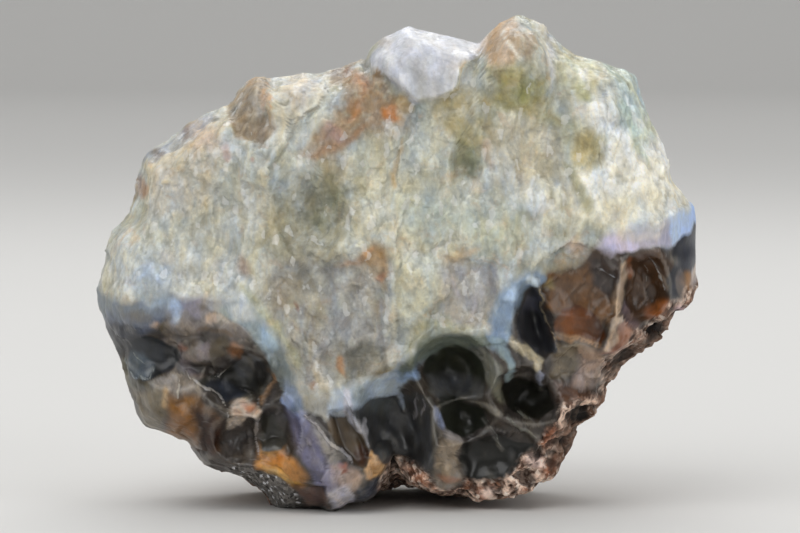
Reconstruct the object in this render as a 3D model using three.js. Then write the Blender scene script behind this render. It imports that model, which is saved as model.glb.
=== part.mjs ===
import * as THREE from 'three';
import { mergeVertices } from 'three/addons/utils/BufferGeometryUtils.js';

// A broken lump of agate in millimetres, +Z up, with its broken face towards -Y.
// Cloudy quartz fills the top, dark chalcedony with shell-like fractures lies below it,
// and the porous rind of the nodule closes the underside, the lower right and the back.

const stoneWidth = 120.4;
const stoneDepth = 64;
const stoneHeight = 98.5;

// Middle of the face, from which the outline is measured round
const hub = new THREE.Vector3(0, 0, 48);

// The solid is a fine ball of triangles that is mapped onto the stone
const ballDetail = 21;
const frontShare = 0.66;
const wallShare = 0.15;

// How far the middle of the face stands in front of the stone's middle plane, and how it curves off
const faceLevel = 27;
const faceCurve = { x: 0.0015, z: 0.002 };
const faceCentre = { x: 2, z: 46 };

// The back: depth of its edge and of its middle behind the middle plane
const backEdge = 19;
const backMiddle = 34;

// Outline of the stone seen from the front, clockwise from the left, as x and z
const outline = [
  // left side, and the glassy edge up to the brown wedge
  [-60.2, 43.5], [-59.2, 48.8], [-57.4, 54.6], [-56.6, 56], [-53.6, 58.8], [-52.2, 62.6],
  [-51.7, 66.8], [-51.2, 69], [-49.8, 70.8], [-46.2, 73], [-42.4, 76], [-37.6, 79],
  [-33.8, 80.7], [-29.8, 85.8], [-28, 86.6], [-26.4, 86.4], [-25.4, 85.5],
  // crown, pale block and round dome
  [-21.6, 86.1], [-18.6, 87], [-14.6, 86.8], [-10.2, 88.5], [-7, 89.7], [-5.9, 89.2],
  [-5.2, 91.6], [-3.4, 93.4], [-0.4, 95], [2.4, 96.4], [16.8, 92.7],
  [18.4, 95], [20.6, 97.4], [23.8, 98.5], [26.4, 98], [29.7, 96.3], [32.2, 93.1],
  // right shoulder and flat right face
  [36.3, 90.5], [42, 89.1], [46.6, 87.5], [48, 86.4], [49.9, 80], [52.8, 74.2],
  [54.9, 68.6], [55.2, 65.4], [59.6, 60.9], [60.2, 58], [60.2, 44.6], [59.4, 41.2],
  // rind, lower right
  [55, 37.4], [52.8, 34.1], [50.2, 32.1], [46.9, 29.9], [42.3, 23.8], [42, 20.8],
  [40.4, 18.6], [37.2, 16.5], [35, 13.4], [34, 9.9], [32.4, 7.2], [29.2, 4.6],
  // right lobe of the underside, the notch and the left lobe
  [26.6, 3], [23.2, 1.8], [16.6, 1.8], [12.6, 3.3], [8.2, 3.6], [3.6, 5.3], [0.8, 7.9],
  [-0.6, 8], [-2.6, 5.6], [-4.6, 2.4], [-6.2, 1.4], [-9.4, 1.6], [-12.4, -0.8], [-24.4, -0.8],
  [-26.2, 2.6], [-28.2, 4.8], [-33.2, 6.5], [-38.4, 8.2],
  // lower left side
  [-40.2, 11.2], [-41.6, 13.1], [-45.4, 14.8], [-50.6, 16.2], [-52, 18.4], [-53.3, 23.4],
  [-56.1, 31.4], [-58.3, 36.4], [-59.8, 40],
];

const closedOutline = [...outline, outline[0]];

// Rounder outline of the back, whose two low stretches end in the flat feet
const backOutline = [
  [-50, 44], [-49, 58], [-41, 71], [-26, 80], [-6, 84], [16, 86], [34, 80], [44, 70],
  [49, 56], [49, 43], [41, 27], [33, 12], [27, 0], [21, -4], [11, -4], [4, 2.6],
  [-3, 3], [-9, -3], [-17, -4], [-25, -3], [-32, 5], [-42, 15], [-48, 28],
];

// How the face rolls off into the sides: angle round the hub, width and depth of the roll
const rimRoll = [
  { angle: -180, width: 9, depth: 11 },
  { angle: -150, width: 7, depth: 9 },
  { angle: -130, width: 6, depth: 8 },
  { angle: -100, width: 5, depth: 7 },
  { angle: -60, width: 6, depth: 7 },
  { angle: -30, width: 8, depth: 10 },
  { angle: -6, width: 3, depth: 3 },
  { angle: 12, width: 3, depth: 3 },
  { angle: 40, width: 4, depth: 6 },
  { angle: 70, width: 6, depth: 8 },
  { angle: 100, width: 6, depth: 8 },
  { angle: 125, width: 4, depth: 9 },
  { angle: 150, width: 5, depth: 10 },
  { angle: 180, width: 9, depth: 11 },
];

// Flat breaks: the face is cut back to a plane through a point, with its slopes along x and z
const flatBreaks = [
  // flat right face
  { at: [54.4, 50], level: 20.5, slope: [-1.1, 0.02] },
  // right shoulder
  { at: [43, 88], level: 19.5, slope: [-0.66, -0.3] },
  // upper left
  { at: [-50, 72], level: 17, slope: [0.36, -0.3] },
  // crown above the block
  { at: [6, 92], level: 23, slope: [-0.02, -0.4] },
];

// Hollows of the shell-like fracture: the lowest level, the reach along and across, and the rise
const hollows = [
  // lower left
  { at: [-47, 31], reach: [9, 5], turn: -5, level: 17.5, rise: 3.4 },
  { at: [-31, 26], reach: [7.4, 5.4], turn: -25, level: 16.5, rise: 5 },
  { at: [-30.5, 14.5], reach: [4.4, 4], turn: 0, level: 17.5, rise: 3 },
  { at: [-24, 16.6], reach: [3.6, 5.4], turn: 0, level: 19, rise: 2.5 },
  // middle
  { at: [0.5, 17], reach: [7, 10.5], turn: 0, level: 15.5, rise: 6.5 },
  { at: [11.4, 27.6], reach: [7, 6.8], turn: 0, level: 14.5, rise: 7.5 },
  { at: [13.8, 18.4], reach: [6, 5.4], turn: 0, level: 15.5, rise: 5.5 },
  { at: [26, 22.6], reach: [6.2, 5.2], turn: 0, level: 14.5, rise: 6 },
  { at: [28, 37.4], reach: [3.4, 7.4], turn: 14, level: 16, rise: 6 },
  { at: [20, 11], reach: [10, 6], turn: 20, level: 16, rise: 3.4 },
  // right
  { at: [36.6, 37], reach: [5.6, 5], turn: 0, level: 18.5, rise: 3.5 },
  { at: [36, 28], reach: [6.4, 6], turn: 0, level: 18.5, rise: 3 },
  { at: [38, 46.4], reach: [7.4, 4], turn: 10, level: 20.5, rise: 2.6 },
  { at: [49.6, 43.6], reach: [5.4, 6.6], turn: 0, level: 16.5, rise: 4.5 },
  // quartz
  { at: [-17.5, 60.5], reach: [7.5, 8.5], turn: 0, level: 22.2, rise: 3 },
  { at: [14, 69.6], reach: [3.8, 5.4], turn: 0, level: 22.4, rise: 3 },
  { at: [-42, 61], reach: [12, 14], turn: 30, level: 20, rise: 2.4 },
  { at: [-8, 70], reach: [11, 9], turn: 0, level: 23.4, rise: 2 },
  { at: [34, 74], reach: [9, 13], turn: 20, level: 21.4, rise: 2 },
];

// Plates: polygons whose ground stands higher or lower, with a bevelled step round them
const plates = [
  // pale block
  {
    raise: 2.4, bevel: 1.8,
    corners: [[-6.6, 89], [-2.6, 96], [2.4, 99], [18, 95], [16.8, 90], [13.2, 88], [12.2, 84],
      [8.6, 82.4], [4, 81.6], [-0.4, 85.6], [-5, 88]],
  },
  // brown wedge
  {
    raise: -1.8, bevel: 1.6,
    corners: [[-34.4, 81], [-30, 88], [-25.4, 88], [-25.4, 84], [-26, 80.4], [-24, 76.4],
      [-27, 72.8], [-31.4, 75]],
  },
  // ground left of the crease
  {
    raise: 1.4, bevel: 1.6,
    corners: [[-25.2, 88], [-13.4, 88], [-14.6, 81], [-17.8, 79], [-20, 76], [-22.4, 72.6],
      [-25, 68.6], [-25, 64.6], [-31, 66], [-28.6, 74], [-25, 78]],
  },
  // sunken grainy ground between the lobes
  {
    raise: -3, bevel: 2.4,
    corners: [[-23, 48], [-14, 50.4], [-7, 50.2], [-3.4, 46.6], [-1.2, 43.4], [-1, 39.2],
      [3.6, 37], [2, 33.6], [-4, 29.4], [-9, 26], [-16, 24], [-19, 27], [-22, 34], [-27, 42]],
  },
  // streaked ground right of the bright lobe
  {
    raise: -1.4, bevel: 1.8,
    corners: [[9, 51], [19, 50], [20, 44], [18.6, 38], [13, 37.4], [9, 39]],
  },
  // white knob
  {
    raise: 1.6, bevel: 1.6,
    corners: [[25.6, 62], [26.2, 66], [28, 67.4], [30.6, 66], [32, 63.4], [30, 60.2],
      [27.4, 60.4]],
  },
  // brown facet between the two ridges
  {
    raise: -2.2, bevel: 1.6,
    corners: [[-13, 20.6], [-9.4, 21], [-7, 15.6], [-5.6, 12.4], [-5.8, 9.6], [-8.2, 10.2],
      [-10.8, 13]],
  },
  // sugary ground under the amber tongue
  {
    raise: -3.2, bevel: 1.8,
    corners: [[-40, 9], [-30, 9.2], [-27, 8.8], [-24, 8], [-20.4, 6.2], [-14, 5.8], [-14, -2],
      [-40, -2]],
  },
  // porous edge, lower right
  {
    raise: -3, bevel: 1.8,
    corners: [[62, 42], [57, 40.6], [54, 38.8], [49, 37], [46.4, 33.6], [41.8, 30.4],
      [40.8, 24], [39.8, 21.6], [36, 21.4], [33, 19.4], [31.2, 15], [28, 11], [24, 7],
      [32, 0], [62, 24]],
  },
];

// Lumps: the highest level, the reach along and across, and the drop to that reach
const lumps = [
  // round dome on the crown
  { at: [23.6, 88.5], reach: [8.4, 10.6], turn: 0, level: 26.6, drop: 4 },
  // bright lobe over the middle
  { at: [5, 46], reach: [5.4, 8.4], turn: -14, level: 28.6, drop: 2.4 },
  // amber dome, brown lump and orange lump, lower left
  { at: [-42, 19], reach: [9.4, 10], turn: 20, level: 23.4, drop: 5 },
  { at: [-36, 33.4], reach: [5.6, 3.8], turn: 12, level: 24.6, drop: 3 },
  { at: [-30, 20.6], reach: [3.4, 2.6], turn: 0, level: 22.4, drop: 2.5 },
  // amber tongue
  { at: [-21.6, 10], reach: [7.4, 3.8], turn: -14, level: 23.6, drop: 3 },
  // pale foot and cream tip beside the notch
  { at: [-10.4, 4], reach: [3, 3.4], turn: 0, level: 20, drop: 3 },
  { at: [-3.6, 9.8], reach: [2.5, 3.2], turn: 0, level: 23, drop: 3 },
  // beige foot and pale foot of the right lobe
  { at: [10.4, 8], reach: [4, 4.6], turn: 0, level: 21, drop: 3 },
  { at: [22, 4.6], reach: [5, 2.6], turn: 0, level: 17.4, drop: 2.5 },
];

// Ribs: ridges along a line, with half their width at the foot and their height
const ribs = [
  // lower left
  { width: 2.3, height: 1.3, line: [[-41, 28], [-38.5, 25.6], [-35.6, 23], [-33.8, 20.2]] },
  { width: 1.8, height: 1.3, line: [[-26.8, 20.4], [-27.6, 16], [-27, 11.4]] },
  { width: 2, height: 1.4, line: [[-23.8, 30.4], [-25.4, 26], [-26.6, 22]] },
  { width: 2, height: 1, line: [[-53.6, 32.6], [-53.4, 29.4], [-51, 27], [-48.4, 28.6]] },
  // violet rib that runs from the band down to the foot, and the edge beside it
  { width: 7.8, height: 2.6, line: [[-22, 25], [-18, 18], [-15, 11], [-12, 5]] },
  { width: 2.9, height: 1.7, line: [[-11, 25.5], [-9, 21.8], [-7.4, 18], [-5, 12.4]] },
  // middle
  { width: 4.9, height: 3, line: [[7, 23], [8.4, 17], [9.8, 12], [10.4, 6]] },
  { width: 2.9, height: 2.4, line: [[16, 33.6], [18.4, 29.6], [20, 25], [21, 21.4]] },
  { width: 2.6, height: 1.7, line: [[13, 22.8], [17, 22], [20.4, 20.4]] },
  { width: 2.9, height: 2.7, line: [[21.6, 35.2], [24.6, 33.8], [27.4, 32], [28.2, 29], [28.8, 25]] },
  // right
  { width: 2.5, height: 2.2, line: [[27.6, 46], [29, 42.6], [28.9, 39.8], [30.6, 36], [32, 32]] },
  { width: 2.6, height: 2.3, line: [[44.8, 50], [44.4, 45], [43.4, 40], [41, 32]] },
  { width: 2.1, height: 1.7, line: [[32.2, 16.4], [33, 20], [36, 21.6], [39.4, 22.4]] },
];

// Pits in the porous edge
const pits = [
  { at: [51.4, 36], reach: [2.6, 1.4], turn: 20, depth: 2.6 },
  { at: [45.4, 31], reach: [3, 1.5], turn: 28, depth: 2.6 },
  { at: [36.6, 19], reach: [3.6, 2], turn: 8, depth: 3.4 },
  { at: [4.6, 7.6], reach: [1.8, 1.4], turn: 0, depth: 1.6 },
  { at: [31, 10], reach: [1.8, 2.4], turn: 0, depth: 1.6 },
];

// Flat breaks of the sides and back: direction of each plane and its distance from the stone's middle
const backBreaks = [
  { normal: [0.1, 0.62, 0.78], distance: 39 },
  { normal: [-0.74, 0.62, 0.24], distance: 44 },
  { normal: [-0.3, 0.86, -0.42], distance: 39 },
  { normal: [0.7, 0.62, 0.36], distance: 45 },
  { normal: [0.52, 0.8, -0.3], distance: 41 },
  { normal: [-0.62, 0.3, 0.72], distance: 50 },
];

// Waves that leave the quartz lumpy and the rind knobbly
const quartzWave = { height: 0.7, length: 7.4 };
const rindWave = { height: 1.3, length: 13 };

// Points of the face this near a rib's crest lie on it
const crestSnap = 0.6;

function clamp01(value) {
  return Math.min(Math.max(value, 0), 1);
}

function mix(a, b, share) {
  return a + (b - a) * share;
}

// Lumpiness between -1 and 1 from crossing waves, at a length in millimetres
function wave(a, b, c, length) {
  const k = (2 * Math.PI) / length;
  const bend = 1.7 * Math.sin(0.41 * k * b + 1.3) + 1.3 * Math.sin(0.37 * k * c);
  const first = Math.sin(k * a + bend);
  const second = Math.sin(0.83 * k * b + 1.9 * Math.sin(0.45 * k * a) + 2.1);
  const third = Math.sin(0.91 * k * c + 1.4 * Math.sin(0.39 * k * (a + b)) + 0.6);
  return (first * second + second * third + third * first) / 3;
}

// Distance from the hub to an outline of points, along an angle in radians
function reachAt(points, angle) {
  const ux = Math.cos(angle);
  const uz = Math.sin(angle);
  let reach = 0;
  points.forEach((start, index) => {
    const end = points[(index + 1) % points.length];
    const ax = start[0] - hub.x;
    const az = start[1] - hub.z;
    const ex = end[0] - start[0];
    const ez = end[1] - start[1];
    const cross = ux * ez - uz * ex;
    if (Math.abs(cross) < 1e-9) {
      return;
    }
    const distance = (ax * ez - az * ex) / cross;
    const along = (ax * uz - az * ux) / cross;
    if (distance > 0 && along >= 0 && along <= 1) {
      reach = Math.max(reach, distance);
    }
  });
  return reach;
}

// Width and depth of the rim's roll at an angle in degrees
function rollAt(degrees) {
  const next = Math.max(rimRoll.findIndex((row) => row.angle >= degrees), 1);
  const before = rimRoll[next - 1];
  const after = rimRoll[next];
  const share = (degrees - before.angle) / (after.angle - before.angle);
  const ease = share * share * (3 - 2 * share);
  return {
    width: mix(before.width, after.width, ease),
    depth: mix(before.depth, after.depth, ease),
  };
}

// Squared distance from a form's middle, as a share of its reach
function spread(form, x, z) {
  const turn = THREE.MathUtils.degToRad(form.turn);
  const dx = x - form.at[0];
  const dz = z - form.at[1];
  const along = (dx * Math.cos(turn) + dz * Math.sin(turn)) / form.reach[0];
  const across = (dz * Math.cos(turn) - dx * Math.sin(turn)) / form.reach[1];
  return along * along + across * across;
}

// Nearest point of a line of several pieces
function nearestOnLine(x, z, line) {
  let nearest = { distance: Infinity };
  for (let index = 0; index + 1 < line.length; index += 1) {
    const [startX, startZ] = line[index];
    const ex = line[index + 1][0] - startX;
    const ez = line[index + 1][1] - startZ;
    const share = clamp01(((x - startX) * ex + (z - startZ) * ez) / (ex * ex + ez * ez));
    const found = { x: startX + share * ex, z: startZ + share * ez };
    found.distance = Math.hypot(x - found.x, z - found.z);
    nearest = found.distance < nearest.distance ? found : nearest;
  }
  return nearest;
}

// Moves a place on the face onto the crest of a rib that it nearly touches
function snapToCrest(place) {
  ribs.forEach((rib) => {
    const nearest = nearestOnLine(place.x, place.z, rib.line);
    if (nearest.distance < crestSnap) {
      place.x = nearest.x;
      place.z = nearest.z;
    }
  });
}

// Distance inside a polygon, negative outside it
function depthInside(x, z, corners) {
  let inside = false;
  corners.forEach((end, index) => {
    const start = corners[(index + corners.length - 1) % corners.length];
    const crosses = (start[1] > z) !== (end[1] > z);
    if (crosses && x < ((end[0] - start[0]) * (z - start[1])) / (end[1] - start[1]) + start[0]) {
      inside = !inside;
    }
  });
  const edge = nearestOnLine(x, z, [...corners, corners[0]]).distance;
  return inside ? edge : -edge;
}

// How far the broken face stands forward of the middle plane at a point
function faceHeight(x, z, angle) {
  const dx = x - faceCentre.x;
  const dz = z - faceCentre.z;
  let height = faceLevel - faceCurve.x * dx * dx - faceCurve.z * dz * dz;
  flatBreaks.forEach((cut) => {
    const plane = cut.level + cut.slope[0] * (x - cut.at[0]) + cut.slope[1] * (z - cut.at[1]);
    height = Math.min(height, plane);
  });
  hollows.forEach((hollow) => {
    height = Math.min(height, hollow.level + hollow.rise * spread(hollow, x, z));
  });
  plates.forEach((plate) => {
    const step = clamp01(0.5 + depthInside(x, z, plate.corners) / plate.bevel);
    height += plate.raise * step;
  });
  lumps.forEach((lump) => {
    height = Math.max(height, lump.level - lump.drop * spread(lump, x, z));
  });
  ribs.forEach((rib) => {
    height += rib.height * clamp01(1 - nearestOnLine(x, z, rib.line).distance / rib.width);
  });
  pits.forEach((pit) => {
    height -= pit.depth * clamp01(1 - spread(pit, x, z));
  });
  const roll = rollAt(THREE.MathUtils.radToDeg(angle));
  const edgeDistance = nearestOnLine(x, z, closedOutline).distance;
  const rolled = clamp01(1 - edgeDistance / roll.width);
  return height - roll.depth * rolled * rolled + quartzWave.height * wave(x, z, height, quartzWave.length);
}

// Outline reach without its small corners
function calmReach(angle) {
  const steps = [-14, -7, 0, 7, 14];
  const total = steps.reduce((sum, step) => {
    return sum + reachAt(outline, angle + THREE.MathUtils.degToRad(step));
  }, 0);
  return total / steps.length;
}

// Point on the sides, from the rim of the face (0) to the edge of the back (1)
function sidePoint(angle, share) {
  const reach = reachAt(outline, angle);
  const behind = reachAt(backOutline, angle);
  const x = hub.x + reach * Math.cos(angle);
  const z = hub.z + reach * Math.sin(angle);
  const front = -faceHeight(x, z, angle);
  const down = clamp01(-Math.sin(angle) * 3 - 1.6);
  const calm = mix(reach, calmReach(angle), clamp01(share / 0.4));
  const up = clamp01(Math.sin(angle) * 2);
  const narrow = mix(share ** mix(1.4, 1, up), share ** 1.6, down);
  const radius = mix(calm, mix(Math.min(behind, reach * 0.97), behind, down), narrow);
  const kept = mix(Math.min(radius, reach), radius, down);
  return new THREE.Vector3(
    hub.x + kept * Math.cos(angle),
    mix(front, backEdge, share),
    hub.z + kept * Math.sin(angle),
  );
}

// Point on the back, from its edge (1) to its middle (0)
function backPoint(angle, share) {
  const edge = sidePoint(angle, 1);
  const depth = mix(backMiddle, edge.y, share ** 2.4);
  return new THREE.Vector3(mix(hub.x, edge.x, share), depth, mix(hub.z, edge.z, share));
}

// Moves a point in to the flat breaks, along the line to the stone's middle
function breakOff(point) {
  const arm = point.clone().sub(hub);
  let share = 1;
  backBreaks.forEach((cut) => {
    const reach = arm.dot(new THREE.Vector3(...cut.normal).normalize());
    share = Math.min(share, cut.distance / Math.max(reach, 1));
  });
  return point.copy(hub).addScaledVector(arm, share);
}

// The stone's surface along a direction of the ball
function stonePoint(direction) {
  const angle = Math.atan2(direction.z, direction.x);
  const share = (1 + direction.y) / 2;
  if (share < frontShare) {
    const out = Math.sqrt(share / frontShare);
    const reach = reachAt(outline, angle);
    const place = { x: hub.x + out * reach * Math.cos(angle), z: hub.z + out * reach * Math.sin(angle) };
    snapToCrest(place);
    return new THREE.Vector3(place.x, -faceHeight(place.x, place.z, angle), place.z);
  }
  if (share < frontShare + wallShare) {
    return breakOff(sidePoint(angle, (share - frontShare) / wallShare));
  }
  return breakOff(backPoint(angle, Math.sqrt((1 - share) / (1 - frontShare - wallShare))));
}

// The ball of triangles, mapped onto the stone and fitted to its overall size
function makeStone() {
  const ball = new THREE.IcosahedronGeometry(1, ballDetail);
  ball.deleteAttribute('normal');
  ball.deleteAttribute('uv');
  const geometry = mergeVertices(ball, 1e-5);
  const position = geometry.attributes.position;
  const direction = new THREE.Vector3();
  for (let index = 0; index < position.count; index += 1) {
    direction.fromBufferAttribute(position, index).normalize();
    const point = stonePoint(direction);
    const behind = clamp01((point.y + 12) / 12);
    const knob = rindWave.height * behind * wave(point.x, point.z, point.y, rindWave.length);
    point.addScaledVector(direction, knob);
    position.setXYZ(index, point.x, point.y, Math.max(point.z, 0));
  }
  geometry.computeBoundingBox();
  const box = geometry.boundingBox;
  const size = box.getSize(new THREE.Vector3());
  const centre = box.getCenter(new THREE.Vector3());
  geometry.translate(-centre.x, -centre.y, -box.min.z);
  geometry.scale(stoneWidth / size.x, stoneDepth / size.y, stoneHeight / size.z);
  geometry.computeVertexNormals();
  return geometry;
}

const stoneMaterial = new THREE.MeshStandardMaterial({ color: 0x8f8c80, roughness: 0.45, metalness: 0 });

const agate = new THREE.Mesh(makeStone(), stoneMaterial);
agate.name = 'agate';

const part = new THREE.Group();
part.add(agate);

export default part;
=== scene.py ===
import math

import bpy
import numpy as np
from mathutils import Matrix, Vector


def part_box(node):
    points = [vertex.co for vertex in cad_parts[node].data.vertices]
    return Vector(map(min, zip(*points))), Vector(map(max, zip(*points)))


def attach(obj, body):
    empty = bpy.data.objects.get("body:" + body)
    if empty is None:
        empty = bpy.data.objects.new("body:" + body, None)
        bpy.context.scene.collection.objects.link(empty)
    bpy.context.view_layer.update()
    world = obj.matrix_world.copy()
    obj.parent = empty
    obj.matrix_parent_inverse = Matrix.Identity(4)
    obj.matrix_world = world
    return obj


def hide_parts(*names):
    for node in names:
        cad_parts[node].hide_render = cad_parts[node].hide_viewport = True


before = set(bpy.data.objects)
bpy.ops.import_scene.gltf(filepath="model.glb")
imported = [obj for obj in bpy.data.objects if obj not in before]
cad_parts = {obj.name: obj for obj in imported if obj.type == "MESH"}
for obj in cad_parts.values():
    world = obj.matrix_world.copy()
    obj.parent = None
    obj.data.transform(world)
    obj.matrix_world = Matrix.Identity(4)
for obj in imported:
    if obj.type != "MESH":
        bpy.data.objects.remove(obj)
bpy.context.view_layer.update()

mm = 0.001  # tables and shapes are in millimetres, the scene is in metres

# Broken lump of agate: x to the right, z up, the broken face towards -y

stoneForm = {
    "middle": (0.0, 48.0),        # x and z that the outline is measured round
    "finest": (3.0, 36.0),        # where the mesh of the face is finest
    "divisions": 98,              # of each side of the ball that is laid over the stone
    "frontShare": 0.73,           # of the ball that goes to the broken face
    "wallShare": 0.17,            # and to the sides
    "faceLevel": 27.0,            # how far the face stands in front of the middle plane
    "faceCurve": (0.0015, 0.002),  # how fast it falls off along x and z, from its centre
    "faceCentre": (2.0, 46.0),
    "backEdge": 19.0,             # how far the back's edge and middle lie behind the middle plane
    "backMiddle": 34.0,
    "backRounding": 2.4,
    "quartzWave": (0.7, 7.4),     # height and length
    "rindWave": (1.3, 13.0),
    "calmAngles": [-14, -7, 0, 7, 14],   # degrees over which the outline is evened out
    "calmWithin": 0.4,            # share of the sides in which that happens
    "pinch": (1.4, 1.6),          # how late the sides narrow, at the left and right and below
    "overhang": 0.97,             # the back's edge stays inside this share of the outline
}

outline = [
    # left side, and the glassy edge up to the brown wedge
    (-60.2, 43.5), (-59.2, 48.8), (-57.4, 54.6), (-56.6, 56), (-53.6, 58.8), (-52.2, 62.6),
    (-51.7, 66.8), (-51.2, 69), (-49.8, 70.8), (-46.2, 73), (-42.4, 76), (-37.6, 79),
    (-33.8, 80.7), (-29.8, 85.8), (-28, 86.6), (-26.4, 86.4), (-25.4, 85.5),
    # crown, pale block and round dome
    (-21.6, 86.1), (-18.6, 87), (-14.6, 86.8), (-10.2, 88.5), (-7, 89.7), (-5.9, 89.2),
    (-5.2, 91.6), (-3.4, 93.4), (-0.4, 95), (2.4, 96.4), (16.8, 92.7),
    (18.4, 95), (20.6, 97.4), (23.8, 98.5), (26.4, 98), (29.7, 96.3), (32.2, 93.1),
    # right shoulder and flat right face
    (36.3, 90.5), (42, 89.1), (46.6, 87.5), (48, 86.4), (49.9, 80), (52.8, 74.2),
    (54.9, 68.6), (55.2, 65.4), (59.6, 60.9), (60.2, 58), (60.2, 44.6), (59.4, 41.2),
    # rind, lower right
    (55, 37.4), (52.8, 34.1), (50.2, 32.1), (46.9, 29.9), (42.3, 23.8), (42, 20.8),
    (40.4, 18.6), (37.2, 16.5), (35, 13.4), (34, 9.9), (32.4, 7.2), (29.2, 4.6),
    # right lobe of the underside, the notch and the left lobe
    (26.6, 3), (23.2, 1.8), (16.6, 1.8), (12.6, 3.3), (8.2, 3.6), (3.6, 5.3), (0.8, 7.9),
    (-0.6, 8), (-2.6, 5.6), (-4.6, 2.4), (-6.2, 1.4), (-9.4, 1.6), (-12.4, -0.8), (-24.4, -0.8),
    (-26.2, 2.6), (-28.2, 4.8), (-33.2, 6.5), (-38.4, 8.2),
    # lower left side
    (-40.2, 11.2), (-41.6, 13.1), (-45.4, 14.8), (-50.6, 16.2), (-52, 18.4), (-53.3, 23.4),
    (-56.1, 31.4), (-58.3, 36.4), (-59.8, 40),
]

backOutline = [
    (-50, 44), (-49, 58), (-41, 71), (-26, 80), (-6, 84), (16, 86), (34, 80), (44, 70),
    (49, 56), (49, 43), (41, 27), (33, 12), (27, 0), (21, -4), (11, -4), (4, 2.6),
    (-3, 3), (-9, -3), (-17, -4), (-25, -3), (-32, 5), (-42, 15), (-48, 28),
]

rimRoll = [  # angle round the middle, then width and depth of the roll into the sides
    (-180, 9, 11), (-150, 7, 9), (-130, 6, 8), (-100, 5, 7), (-60, 6, 7), (-30, 8, 10), (-6, 3, 3),
    (12, 3, 3), (40, 4, 6), (70, 6, 8), (100, 6, 8), (125, 4, 9), (150, 5, 10), (180, 9, 11),
]

flatBreaks = [  # x and z of a point, the level there, slopes along x and z
    (54.4, 50, 20.5, -1.1, 0.02),   # flat right face
    (43, 88, 19.5, -0.66, -0.3),    # right shoulder
    (-50, 72, 17, 0.36, -0.3),      # upper left
    (6, 92, 23, -0.02, -0.4),       # crown above the block
]

hollows = [  # x, z, reach along and across, turn, lowest level, rise to the reach
    (-47, 31, 9, 5, -5, 17.5, 3.4), (-31, 26, 7.4, 5.4, -25, 16.5, 5),
    (-30.5, 14.5, 4.4, 4, 0, 17.5, 3), (-24, 16.6, 3.6, 5.4, 0, 19, 2.5),
    (0.5, 17, 7, 10.5, 0, 15.5, 6.5), (11.4, 27.6, 7, 6.8, 0, 14.5, 7.5),
    (13.8, 18.4, 6, 5.4, 0, 15.5, 5.5), (26, 22.6, 6.2, 5.2, 0, 14.5, 6),
    (28, 37.4, 3.4, 7.4, 14, 16, 6), (20, 11, 10, 6, 20, 16, 3.4),
    (36.6, 36.4, 8, 5.6, 8, 20.0, 2.6), (36, 28, 6.4, 6, 0, 18.5, 3),
    (37, 43.4, 8, 8, 10, 19.6, 3.2), (49.6, 43.6, 5.4, 6.6, 0, 16.5, 4.5),
    (-17.5, 60.5, 7.5, 8.5, 0, 22.2, 3), (14, 69.6, 4.4, 6, 0, 24.6, 1.6),
    (-42, 61, 12, 14, 30, 20, 2.4), (-8, 70, 11, 9, 0, 23.4, 2), (34, 74, 9, 13, 20, 21.4, 2),
]

plates = [  # step, bevel and corners of ground that stands higher or lower
    # pale block
    (2.4, 1.0, [(-6.6, 89), (-2.6, 96), (2.4, 99), (18, 95), (16.8, 90), (13.2, 88), (12.2, 84),
        (8.6, 82.4), (4, 81.6), (-0.4, 85.6), (-5, 88)]),
    # brown wedge
    (-1.8, 0.9, [(-34.4, 81), (-30, 88), (-25.4, 88), (-25.4, 84), (-26, 80.4), (-24, 76.4), (-27, 72.8),
        (-31.4, 75)]),
    # left of the crease
    (1.4, 1.0, [(-25.2, 88), (-13.4, 88), (-14.6, 81), (-17.8, 79), (-20, 76), (-22.4, 72.6), (-25, 68.6),
        (-25, 64.6), (-31, 66), (-28.6, 74), (-25, 78)]),
    (-2.2, 3.4, [(-23, 48), (-14, 50.4), (-7, 50.2), (-3.4, 46.6), (-1.2, 43.4), (-1, 39.2), (3.6, 37),
        (2, 33.6), (-4, 29.4), (-9, 26), (-16, 24), (-19, 27), (-22, 34), (-27, 42)]),
    (-1.4, 1.4, [(9, 51), (19, 50), (20, 44), (18.6, 38), (13, 37.4), (9, 39)]),
    (1.1, 1.6, [(25, 61), (25.2, 65.4), (27, 67.8), (29.4, 67), (32.6, 64.8), (33.2, 62.4), (31, 59.4),
        (29.4, 60.8), (27.4, 58.8)]),
    (-2.2, 0.9, [(-13, 20.6), (-9.4, 21), (-7, 15.6), (-5.6, 12.4), (-5.8, 9.6), (-8.2, 10.2),
        (-10.8, 13)]),
    (-3.2, 0.9, [(-40, 9), (-30, 9.2), (-27, 8.8), (-24, 8), (-20.4, 6.2), (-14, 5.8), (-14, -2),
        (-40, -2)]),
    (-3, 1.4, [(62, 42), (57, 40.6), (54, 38.8), (49, 37), (46.4, 33.6), (41.8, 30.4), (40.8, 24),
        (39.8, 21.6), (36, 21.4), (33, 19.4), (31.2, 15), (28, 11), (24, 7), (32, 0), (62, 24)]),
]

lumps = [  # x, z, reach along and across, turn, highest level, drop to the reach
    (23.6, 88.5, 8.4, 10.6, 0, 26.6, 4), (5, 46, 5.4, 8.4, -14, 28.6, 2.4),
    (-42, 19, 9.4, 10, 20, 23.4, 5), (-36, 33.4, 5.6, 3.8, 12, 24.6, 3),
    (-30, 20.6, 3.4, 2.6, 0, 22.4, 2.5), (-21.6, 10, 7.4, 3.8, -14, 23.6, 3),
    (-10.4, 4, 3, 3.4, 0, 20, 3), (-3.6, 9.8, 2.5, 3.2, 0, 23, 3), (10.4, 8, 4, 4.6, 0, 21, 3),
    (22, 4.6, 5, 2.6, 0, 17.4, 2.5),
]

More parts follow.
